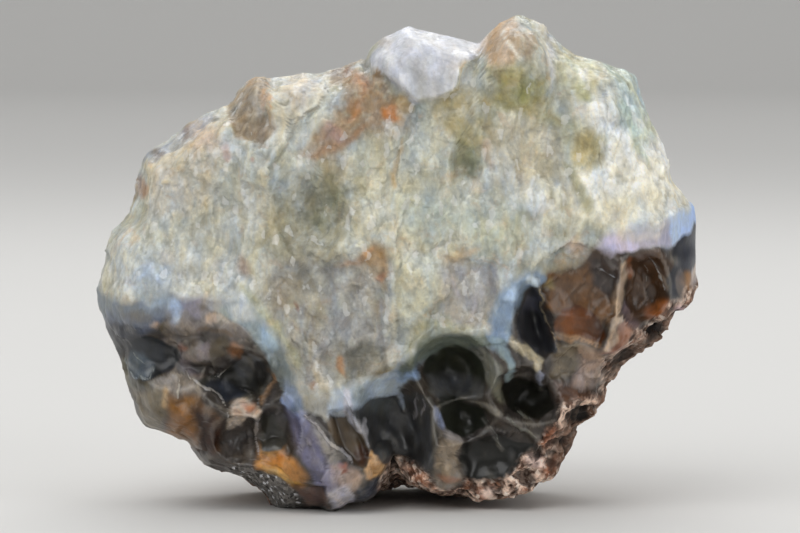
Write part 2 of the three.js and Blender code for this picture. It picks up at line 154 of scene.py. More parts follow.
ribs = [  # half the width at the foot, the height, and the line
    (1.0, 0.8, [(-41, 28), (-38.5, 25.6), (-35.6, 23), (-33.8, 20.2)]),
    (0.8, 0.7, [(-26.8, 20.4), (-27.6, 16), (-27, 11.4)]),
    (1.0, 1.0, [(-23.8, 30.4), (-25.4, 26), (-26.6, 22)]),
    (0.7, 0.5, [(-53.6, 32.6), (-53.4, 29.4), (-51, 27), (-48.4, 28.6)]),
    (7.8, 2.6, [(-22, 25), (-18, 18), (-15, 11), (-12, 5)]),
    (1.3, 1.3, [(-11, 25.5), (-9, 21.8), (-7.4, 18), (-5, 12.4)]),
    (4.6, 3.0, [(7, 23), (8.4, 17), (9.8, 12), (10.4, 6)]),
    (1.8, 1.6, [(16, 33.6), (18.4, 29.6), (20, 25), (21, 21.4)]),
    (1.3, 1.0, [(13, 22.8), (17, 22), (20.4, 20.4)]),
    (1.4, 2.0, [(21.6, 35.2), (24.6, 33.8), (27.4, 32), (28.2, 29), (28.8, 25)]),
    (1.0, 1.2, [(27.6, 46), (29, 42.6), (28.9, 39.8), (30.6, 36), (32, 32)]),
    (1.2, 1.5, [(44.8, 50), (44.4, 45), (43.4, 40), (41, 32)]),
    (1.5, 1.8, [(32.2, 16.4), (33, 20), (36, 21.6), (39.4, 22.4)]),
    # finer edges between the shell-shaped breaks
    (0.6, 0.4, [(-37, 26.6), (-35.2, 26.6), (-34.6, 27.8), (-32.6, 29.2)]),
    (0.8, 0.5, [(-43.4, 27), (-43.4, 23)]),
    (0.6, 0.4, [(0.2, 24), (1.6, 19.8)]),
    (0.6, 0.4, [(17.4, 18.4), (19.6, 15), (21.2, 12)]),
    (0.7, 0.5, [(21, 19.6), (24.6, 17), (28, 14.8)]),
    (0.6, 0.4, [(24, 20.4), (27, 18.4)]),
    (0.6, 0.5, [(-18, 20.6), (-15.6, 18.4), (-12.6, 15.4), (-10, 12), (-8, 9.8)]),
    (0.5, 0.3, [(40, 49.2), (41.4, 47.6), (43.4, 46.4)]),
    (0.5, 0.3, [(50.6, 49.8), (52.4, 47.4), (53.6, 45.8), (54, 44)]),
    (0.6, 0.5, [(21, 95), (22.6, 92.4), (24.4, 90)]),
    (0.8, 0.8, [(12.8, 88), (12, 84)]),
    (0.9, 0.8, [(41.4, 85), (42.4, 82), (43.4, 79)]),
]

pits = [  # x, z, reach along and across, turn, depth
    (51.4, 36, 2.6, 1.4, 20, 2.6), (45.4, 31, 3, 1.5, 28, 2.6), (36.6, 19, 3.6, 2, 8, 3.4),
    (4.6, 7.6, 1.8, 1.4, 0, 1.6), (31, 10, 1.8, 2.4, 0, 1.6),
]

backBreaks = [  # direction of a flat break of the sides or back, and its distance from the middle
    (0.1, 0.62, 0.78, 39), (-0.74, 0.62, 0.24, 44), (-0.3, 0.86, -0.42, 39),
    (0.7, 0.62, 0.36, 45), (0.52, 0.8, -0.3, 41), (-0.62, 0.3, 0.72, 50),
]


def smooth(value):
    value = np.clip(value, 0, 1)
    return value * value * (3 - 2 * value)


def mix(a, b, share):
    return a + (b - a) * share


def wave(a, b, c, length):
    k = 2 * math.pi / length
    bend = 1.7 * np.sin(0.41 * k * b + 1.3) + 1.3 * np.sin(0.37 * k * c)
    first = np.sin(k * a + bend)
    second = np.sin(0.83 * k * b + 1.9 * np.sin(0.45 * k * a) + 2.1)
    third = np.sin(0.91 * k * c + 1.4 * np.sin(0.39 * k * (a + b)) + 0.6)
    return (first * second + second * third + third * first) / 3


def reachAt(points, angle):
    # distance from the middle to an outline, along each angle
    ux, uz = np.cos(angle), np.sin(angle)
    reach = np.zeros_like(angle)
    for start, end in zip(points, points[1:] + points[:1]):
        ax, az = start[0] - stoneForm["middle"][0], start[1] - stoneForm["middle"][1]
        ex, ez = end[0] - start[0], end[1] - start[1]
        cross = ux * ez - uz * ex
        cross = np.where(np.abs(cross) < 1e-9, 1e-9, cross)
        distance = (ax * ez - az * ex) / cross
        along = (ax * uz - az * ux) / cross
        hit = (distance > 0) & (along >= -1e-9) & (along <= 1 + 1e-9)
        reach = np.where(hit, np.maximum(reach, distance), reach)
    return reach


def calmReach(angle):
    # the outline's distance, evened out over its neighbourhood
    steps = np.radians(stoneForm["calmAngles"])
    return sum(reachAt(outline, angle + step) for step in steps) / len(steps)


def nearestOnLine(x, z, line):
    if len(line) == 1:
        return np.hypot(x - line[0][0], z - line[0][1])
    nearest = np.full(x.shape, np.inf)
    for start, end in zip(line, line[1:]):
        ex, ez = end[0] - start[0], end[1] - start[1]
        share = np.clip(((x - start[0]) * ex + (z - start[1]) * ez) / (ex * ex + ez * ez), 0, 1)
        nearest = np.minimum(nearest, np.hypot(x - start[0] - share * ex, z - start[1] - share * ez))
    return nearest


def taperedLine(x, z, line, width):
    # distance inside a brush stroke that thins out at both ends
    if len(line) == 1:
        return width - nearestOnLine(x, z, line)
    lengths = [math.dist(start, end) for start, end in zip(line, line[1:])]
    nearest, along, before = np.full(x.shape, np.inf), np.zeros(x.shape), 0
    for start, end, length in zip(line, line[1:], lengths):
        ex, ez = (end[0] - start[0]) / length, (end[1] - start[1]) / length
        part = np.clip((x - start[0]) * ex + (z - start[1]) * ez, 0, length)
        distance = np.hypot(x - start[0] - part * ex, z - start[1] - part * ez)
        along = np.where(distance < nearest, (before + part) / sum(lengths), along)
        nearest = np.minimum(nearest, distance)
        before += length
    return width * (0.3 + 0.7 * np.sqrt(np.sin(np.pi * along).clip(0, 1))) - nearest


def depthInside(x, z, corners):
    # distance inside a polygon, negative outside it
    inside = np.zeros(x.shape, bool)
    for start, end in zip(corners[-1:] + corners[:-1], corners):
        if start[1] == end[1]:
            continue
        crosses = (start[1] > z) != (end[1] > z)
        inside ^= crosses & (x < (end[0] - start[0]) * (z - start[1]) / (end[1] - start[1]) + start[0])
    edge = nearestOnLine(x, z, corners + corners[:1])
    return np.where(inside, edge, -edge)


def spread(x, z, form):
    # squared distance from a form's middle, as a share of its reach
    turn = math.radians(form[4])
    dx, dz = x - form[0], z - form[1]
    along = (dx * math.cos(turn) + dz * math.sin(turn)) / form[2]
    across = (dz * math.cos(turn) - dx * math.sin(turn)) / form[3]
    return along ** 2 + across ** 2


def rollAt(degrees, column):
    # the roll's width or depth, eased from one angle of the list to the next
    angles = [row[0] for row in rimRoll]
    place = np.interp(degrees, angles, range(len(angles)))
    row = np.minimum(place.astype(int), len(angles) - 2)
    values = np.array([row[column] for row in rimRoll], float)
    return mix(values[row], values[row + 1], smooth(place - row))


def faceHeight(x, z):
    # how far the broken face stands forward of the middle plane
    angle = np.arctan2(z - stoneForm["middle"][1], x - stoneForm["middle"][0])
    dx, dz = x - stoneForm["faceCentre"][0], z - stoneForm["faceCentre"][1]
    curveX, curveZ = stoneForm["faceCurve"]
    height = stoneForm["faceLevel"] - curveX * dx ** 2 - curveZ * dz ** 2
    for atX, atZ, level, slopeX, slopeZ in flatBreaks:
        height = np.minimum(height, level + slopeX * (x - atX) + slopeZ * (z - atZ))
    for form in hollows:
        height = np.minimum(height, form[5] + form[6] * spread(x, z, form))
    for step, bevel, corners in plates:
        height = height + step * np.clip(0.5 + depthInside(x, z, corners) / bevel, 0, 1)
    for form in lumps:
        height = np.maximum(height, form[5] - form[6] * spread(x, z, form))
    for width, rise, line in ribs:
        height = height + rise * np.clip(1 - nearestOnLine(x, z, line) / width, 0, 1)
    for form in pits:
        height = height - form[5] * np.clip(1 - spread(x, z, form), 0, 1)
    degrees = np.degrees(angle)
    rolled = np.clip(1 - nearestOnLine(x, z, outline + outline[:1]) / rollAt(degrees, 1), 0, 1)
    high, length = stoneForm["quartzWave"]
    return height - rollAt(degrees, 2) * rolled ** 2 + high * wave(x, z, height, length)


def ballDirections(divisions):
    # a ball of equal triangles: each side of an icosahedron split into rows
    golden = (1 + math.sqrt(5)) / 2
    corners = np.array([(-1, golden, 0), (1, golden, 0), (-1, -golden, 0), (1, -golden, 0),
                        (0, -1, golden), (0, 1, golden), (0, -1, -golden), (0, 1, -golden),
                        (golden, 0, -1), (golden, 0, 1), (-golden, 0, -1), (-golden, 0, 1)])
    sides = [(0, 11, 5), (0, 5, 1), (0, 1, 7), (0, 7, 10), (0, 10, 11), (1, 5, 9), (5, 11, 4),
             (11, 10, 2), (10, 7, 6), (7, 1, 8), (3, 9, 4), (3, 4, 2), (3, 2, 6), (3, 6, 8),
             (3, 8, 9), (4, 9, 5), (2, 4, 11), (6, 2, 10), (8, 6, 7), (9, 8, 1)]
    rows, columns = np.meshgrid(range(divisions + 1), range(divisions + 1), indexing="ij")
    kept = columns <= rows
    row, column = rows[kept], columns[kept]
    place = np.full(rows.shape, -1)
    place[kept] = np.arange(kept.sum())
    i, j = rows[kept & (rows < divisions)], columns[kept & (rows < divisions)]
    up = np.stack([place[i, j], place[i + 1, j], place[i + 1, j + 1]], axis=1)
    i, j = i[j < i], j[j < i]
    down = np.stack([place[i, j], place[i + 1, j + 1], place[i, j + 1]], axis=1)
    pattern = np.vstack([up, down])
    away, across = (row / divisions)[:, None], (column / divisions)[:, None]
    points, faces = [], []
    for number, (a, b, c) in enumerate(sides):
        points.append(corners[a] * (1 - away) + corners[b] * (away - across) + corners[c] * across)
        faces.append(pattern + number * len(row))
    points, index = np.unique(np.round(np.vstack(points), 6), axis=0, return_inverse=True)
    faces = index.ravel()[np.vstack(faces)]
    points /= np.linalg.norm(points, axis=1)[:, None]
    a, b, c = (points[faces[:, corner]] for corner in range(3))
    inward = np.einsum("ij,ij->i", np.cross(b - a, c - a), a + b + c) < 0
    faces[inward] = faces[inward][:, ::-1]
    return points, faces


def layOverStone(direction):
    # every direction of the ball to a point of the stone, and how far round the back that is
    middleX, middleZ = stoneForm["middle"]
    frontShare, wallShare = stoneForm["frontShare"], stoneForm["wallShare"]
    angle = np.arctan2(direction[:, 2], direction[:, 0])
    share = (1 + direction[:, 1]) / 2
    reach = reachAt(outline, angle)
    out = np.sqrt(np.clip(share / frontShare, 0, 1))
    x = mix(stoneForm["finest"][0], middleX + reach * np.cos(angle), out)
    z = mix(stoneForm["finest"][1], middleZ + reach * np.sin(angle), out)
    height = faceHeight(x, z)
    face = np.stack([x, -height, z], axis=1)

    side = np.clip((share - frontShare) / wallShare, 0, 1)   # from the rim to the edge of the back
    behind = reachAt(backOutline, angle)
    down = np.clip(-np.sin(angle) * 3 - 1.6, 0, 1)           # 1 under the stone
    up = np.clip(np.sin(angle) * 2, 0, 1)                    # 1 on its top
    calm = mix(reach, calmReach(angle), np.clip(side / stoneForm["calmWithin"], 0, 1))
    pinch, pinchBelow = stoneForm["pinch"]
    narrow = mix(side ** mix(pinch, 1, up), side ** pinchBelow, down)
    inside = np.minimum(behind, reach * stoneForm["overhang"])
    radius = mix(calm, mix(inside, behind, down), narrow)
    radius = mix(np.minimum(radius, reach), radius, down)
    wallY = mix(-height, stoneForm["backEdge"], side)
    wall = np.stack([middleX + radius * np.cos(angle), wallY, middleZ + radius * np.sin(angle)], axis=1)

    inward = np.sqrt(np.clip((1 - share) / (1 - frontShare - wallShare), 0, 1))
    back = np.stack([mix(middleX, wall[:, 0], inward),
                     mix(stoneForm["backMiddle"], wall[:, 1], inward ** stoneForm["backRounding"]),
                     mix(middleZ, wall[:, 2], inward)], axis=1)

    hidden = np.where((share > frontShare + wallShare)[:, None], back, wall)
    centre = np.array([middleX, 0, middleZ])
    arm = hidden - centre
    kept = np.ones(len(arm))
    for nx, ny, nz, distance in backBreaks:
        normal = np.array([nx, ny, nz]) / math.sqrt(nx * nx + ny * ny + nz * nz)
        kept = np.minimum(kept, distance / np.maximum(arm @ normal, 1))
    hidden = centre + arm * kept[:, None]
    points = np.where((share < frontShare)[:, None], face, hidden)
    high, length = stoneForm["rindWave"]
    knob = high * np.clip((points[:, 1] + 12) / 12, 0, 1)
    knob = knob * wave(points[:, 0], points[:, 2], points[:, 1], length)
    travel = np.where(share < frontShare, out - 1, side + 1 - inward)
    return points + direction * knob[:, None], angle, travel


def calmPoints(points, faces, share=1.0):
    # each point moves towards the middle of its neighbours
    a = np.concatenate([faces[:, 0], faces[:, 1], faces[:, 2]])
    b = np.concatenate([faces[:, 1], faces[:, 2], faces[:, 0]])
    count = np.bincount(a, minlength=len(points))
    total = [np.bincount(a, points[b, axis], len(points)) for axis in range(3)]
    return mix(points, np.stack(total, axis=1) / count[:, None], share)


def pointNormals(points, faces):
    a, b, c = (points[faces[:, corner]] for corner in range(3))
    across = np.cross(b - a, c - a)
    normal = np.zeros_like(points)
    for corner in range(3):
        for axis in range(3):
            normal[:, axis] += np.bincount(faces[:, corner], across[:, axis], len(points))
    return normal / np.maximum(np.linalg.norm(normal, axis=1)[:, None], 1e-12)


def chance(cell, seed):
    # a fixed value from 0 to 1 for every whole-numbered place
    value = (cell[..., 0] * 73856093) ^ (cell[..., 1] * 19349663) ^ (cell[..., 2] * 83492791)
    value = (value ^ (seed * 2654435761)) & 0xFFFFFFFF
    value = ((value ^ (value >> 15)) * 2246822519) & 0xFFFFFFFF
    value = ((value ^ (value >> 13)) * 3266489917) & 0xFFFFFFFF
    return ((value ^ (value >> 16)) & 0xFFFFFF) / 0xFFFFFF


def cloud(points, size, seed, octaves=3):
    # cloudy value from about -1 to 1
    total, weight = 0, 0
    for octave in range(octaves):
        place = points / size * 2 ** octave + 17.3 * octave
        base = np.floor(place).astype(np.int64)
        part = smooth(place - base)
        value = 0
        for corner in np.ndindex(2, 2, 2):
            near = np.prod(np.where(corner, part, 1 - part), axis=1)
            value = value + near * chance(base + corner, seed + octave)
        total = total + (value - 0.5) * 2 * 0.55 ** octave
        weight += 0.55 ** octave
    return total / weight * 1.6


def patterned(points, pattern, octaves=3):
    # a cloudy pattern, given as its size, number and height
    size, seed, height = pattern
    return height * cloud(points, size, seed, octaves)


def facets(points, size, seed, tilt, jump=0.1):
    # crystal faces: the surface of every grain leans its own way and sits at its own level
    place = points / size
    base = np.floor(place).astype(np.int64)
    nearest = np.full(len(points), 9.0)
    offset, owner = np.zeros_like(points), np.zeros_like(base)
    for step in np.ndindex(3, 3, 3):
        cell = base + np.array(step) - 1
        arm = place - cell - np.stack([chance(cell, seed + axis) for axis in range(3)], axis=1)
        distance = np.linalg.norm(arm, axis=1)
        closer = distance < nearest
        offset[closer], owner[closer] = arm[closer], cell[closer]
        nearest = np.where(closer, distance, nearest)
    lean = np.stack([chance(owner, seed + 10 + axis) - 0.5 for axis in range(3)], axis=1)
    level = chance(owner, seed + 20) - 0.5
    return ((offset * lean).sum(axis=1) * 2 + level * jump) * size * tilt


print("stone: shape")
ball, stoneFaces = ballDirections(stoneForm["divisions"])
design, stoneAngle, travel = layOverStone(ball)

quartzEdge = [  # lower edge of the quartz, left to right
    (-66, 43.4), (-61, 43.4), (-56, 42.6), (-51, 42.2), (-48, 43.2), (-46, 44), (-43.6, 43.6),
    (-41.6, 43), (-38, 43.8), (-33, 43.6), (-30, 42.4), (-27.4, 40.2), (-25, 37.6), (-22.8, 34.8),
    (-21, 31.4), (-19.4, 28.6), (-18.2, 26.4), (-17.6, 24.6), (-16, 25), (-13, 25.4), (-11, 25.8),
    (-8, 26.6), (-5, 27.6), (-1, 28.4), (0.4, 29.4), (1.4, 31.2), (3.4, 33.4), (6, 35.4), (9, 36.6),
    (12.6, 36.9), (18.6, 36.6), (18.8, 38.4), (19.6, 41.6), (21, 44.6), (23.4, 47.2), (26, 48.6),
    (28.6, 48.6), (31, 48.4), (34, 49.6), (37, 51), (39.8, 52.6), (40.6, 54.4), (42, 55.4),
    (44.4, 56.2), (48, 56.8), (52, 57), (54.6, 58), (57.4, 59.8), (60.4, 61), (66, 62),
]
rindEdge = [  # upper edge of the crust on the broken face, right to left
    (66, 47), (60.4, 45.4), (58, 44.4), (56.6, 42.2), (54.4, 41.2), (52.4, 39.8), (50.4, 39),
    (48, 37.4), (46.6, 35.6), (44.6, 32.8), (42.8, 31.4), (41.2, 29.6), (40.6, 26), (39.6, 23.2),
    (37, 22.8), (34.4, 22.2), (32.6, 21.4), (31, 18.6), (29.8, 15.8), (28.4, 13.6), (26.6, 12),
    (25, 9.4), (22.6, 6.8), (20, 5.8), (17, 5.6), (14, 5.6), (12, 4.6), (8, 5), (6.4, 8), (4, 9.8),
    (1.6, 10.4), (-0.4, 10), (-2, 8), (-3.4, 4), (-4, -4),
]
bandCourse = [  # x along the quartz's lower edge, thickness of the band there, and its colour
    (-62, 3.4, (130, 136, 140)), (-54, 3.4, (122, 128, 134)), (-46, 3.2, (146, 156, 166)),
    (-42, 2.6, (140, 140, 150)), (-38, 2.2, (154, 150, 150)), (-32, 4.0, (176, 180, 180)),
    (-26, 4.2, (142, 160, 170)), (-21, 3.8, (112, 120, 124)), (-17, 3.0, (150, 152, 150)),
    (-12, 4.0, (186, 194, 204)), (-6, 4.4, (164, 174, 184)), (1, 3.4, (172, 184, 198)),
    (8, 3.0, (106, 113, 102)), (17, 3.0, (122, 132, 130)), (20, 4.2, (138, 156, 176)),
    (27, 3.6, (168, 188, 200)), (30, 0.6, (150, 140, 112)), (40, 0.6, (150, 130, 110)),
    (42.4, 3.2, (178, 172, 188)), (47, 4.2, (182, 176, 188)), (53, 4.0, (178, 180, 188)),
    (56, 4.0, (180, 201, 236)), (62, 4.2, (178, 199, 234)),
]
rindStart = [  # angle round the middle, then where the crust begins: 0 the rim, 1 the back's edge
    (-180, 0.5), (-160, 0.4), (-147, 0.2), (-130, 0.05), (-112, 0.0), (-100, 0.04), (-90, 0.0),
    (-60, 0.0), (-30, 0.0), (-12, 0.04), (-4, 0.3), (10, 0.5),
    (35, 0.9), (60, 1.05), (100, 1.1), (130, 0.9), (150, 0.7), (180, 0.5),
]

stoneEdges = {
    "wander": ((5, 0.9), (1.8, 0.25)),   # size and reach of the waver of every painted edge
    "quartzTilt": (-14, 0.5),   # y where the quartz's edge starts to rise, and how fast
    "rindWander": (9, 5, 0.05),
    "sideLength": 40,           # millimetres from the rim to the edge of the back, roughly
    "lineTrim": 0.06,           # that pale lines are thinner than their strokes
    "quartzBlend": 2.4,         # widths over which the relief of two grounds runs together
    "rindBlend": 1.6,
    "bandBlend": 2.2,
    "druseBlend": 1.2,
    "bandBlur": ([-46, -34], [0.3, 1]),  # x from where to where the band's edge gets sharp
    "rimFade": 0.35,            # touches fade out behind the rim, over this share of the sides
    "fieldReach": 3.0,          # millimetres that a distance is kept for, on each side of an edge
    "thinLine": 0.4,            # strokes of up to this half width are pale lines
    "patches": (1.8, 97),       # size and number of the pattern that breaks up soft touches
    "glassGround": (70, 64, 60),
    "paneGround": (48, 46, 44),
    "lineGround": (150, 146, 140),
}
druseOutline = [(-33, 9.4), (-27, 8.8), (-24, 7.6), (-21, 5.4), (-19, 2.6), (-21, -2), (-33, -2)]


def stray(pattern):
    # how far the painted edges wander at each point
    (size, reach), (fineSize, fineReach) = stoneEdges["wander"]
    broad, fine = cloud(design, size, pattern, 2), cloud(design, fineSize, pattern + 1, 2)
    return reach * broad + fineReach * fine


paintX, paintZ = design[:, 0] + stray(91), design[:, 2] + stray(95)
tiltStart, tilt = stoneEdges["quartzTilt"]
quartzDepth = depthInside(paintX, paintZ, quartzEdge + [(66, 120), (-66, 120)])
quartzDepth = quartzDepth - tilt * np.clip(design[:, 1] - tiltStart, 0, None)
rindLine = np.interp(np.degrees(stoneAngle), *zip(*rindStart))
rindLine = rindLine + patterned(design, stoneEdges["rindWander"])
rindBehind = (travel - rindLine) * stoneEdges["sideLength"]
rindDepth = np.maximum(rindBehind, depthInside(paintX, paintZ, rindEdge + [(66, -4)]))
quartzShare = smooth(0.5 + quartzDepth / stoneEdges["quartzBlend"])
rindShare = smooth(0.5 + rindDepth / stoneEdges["rindBlend"])

print("stone: touches of colour")
# Each touch: red, green, blue; strength; half width, or 0 to fill the outline; softness; points

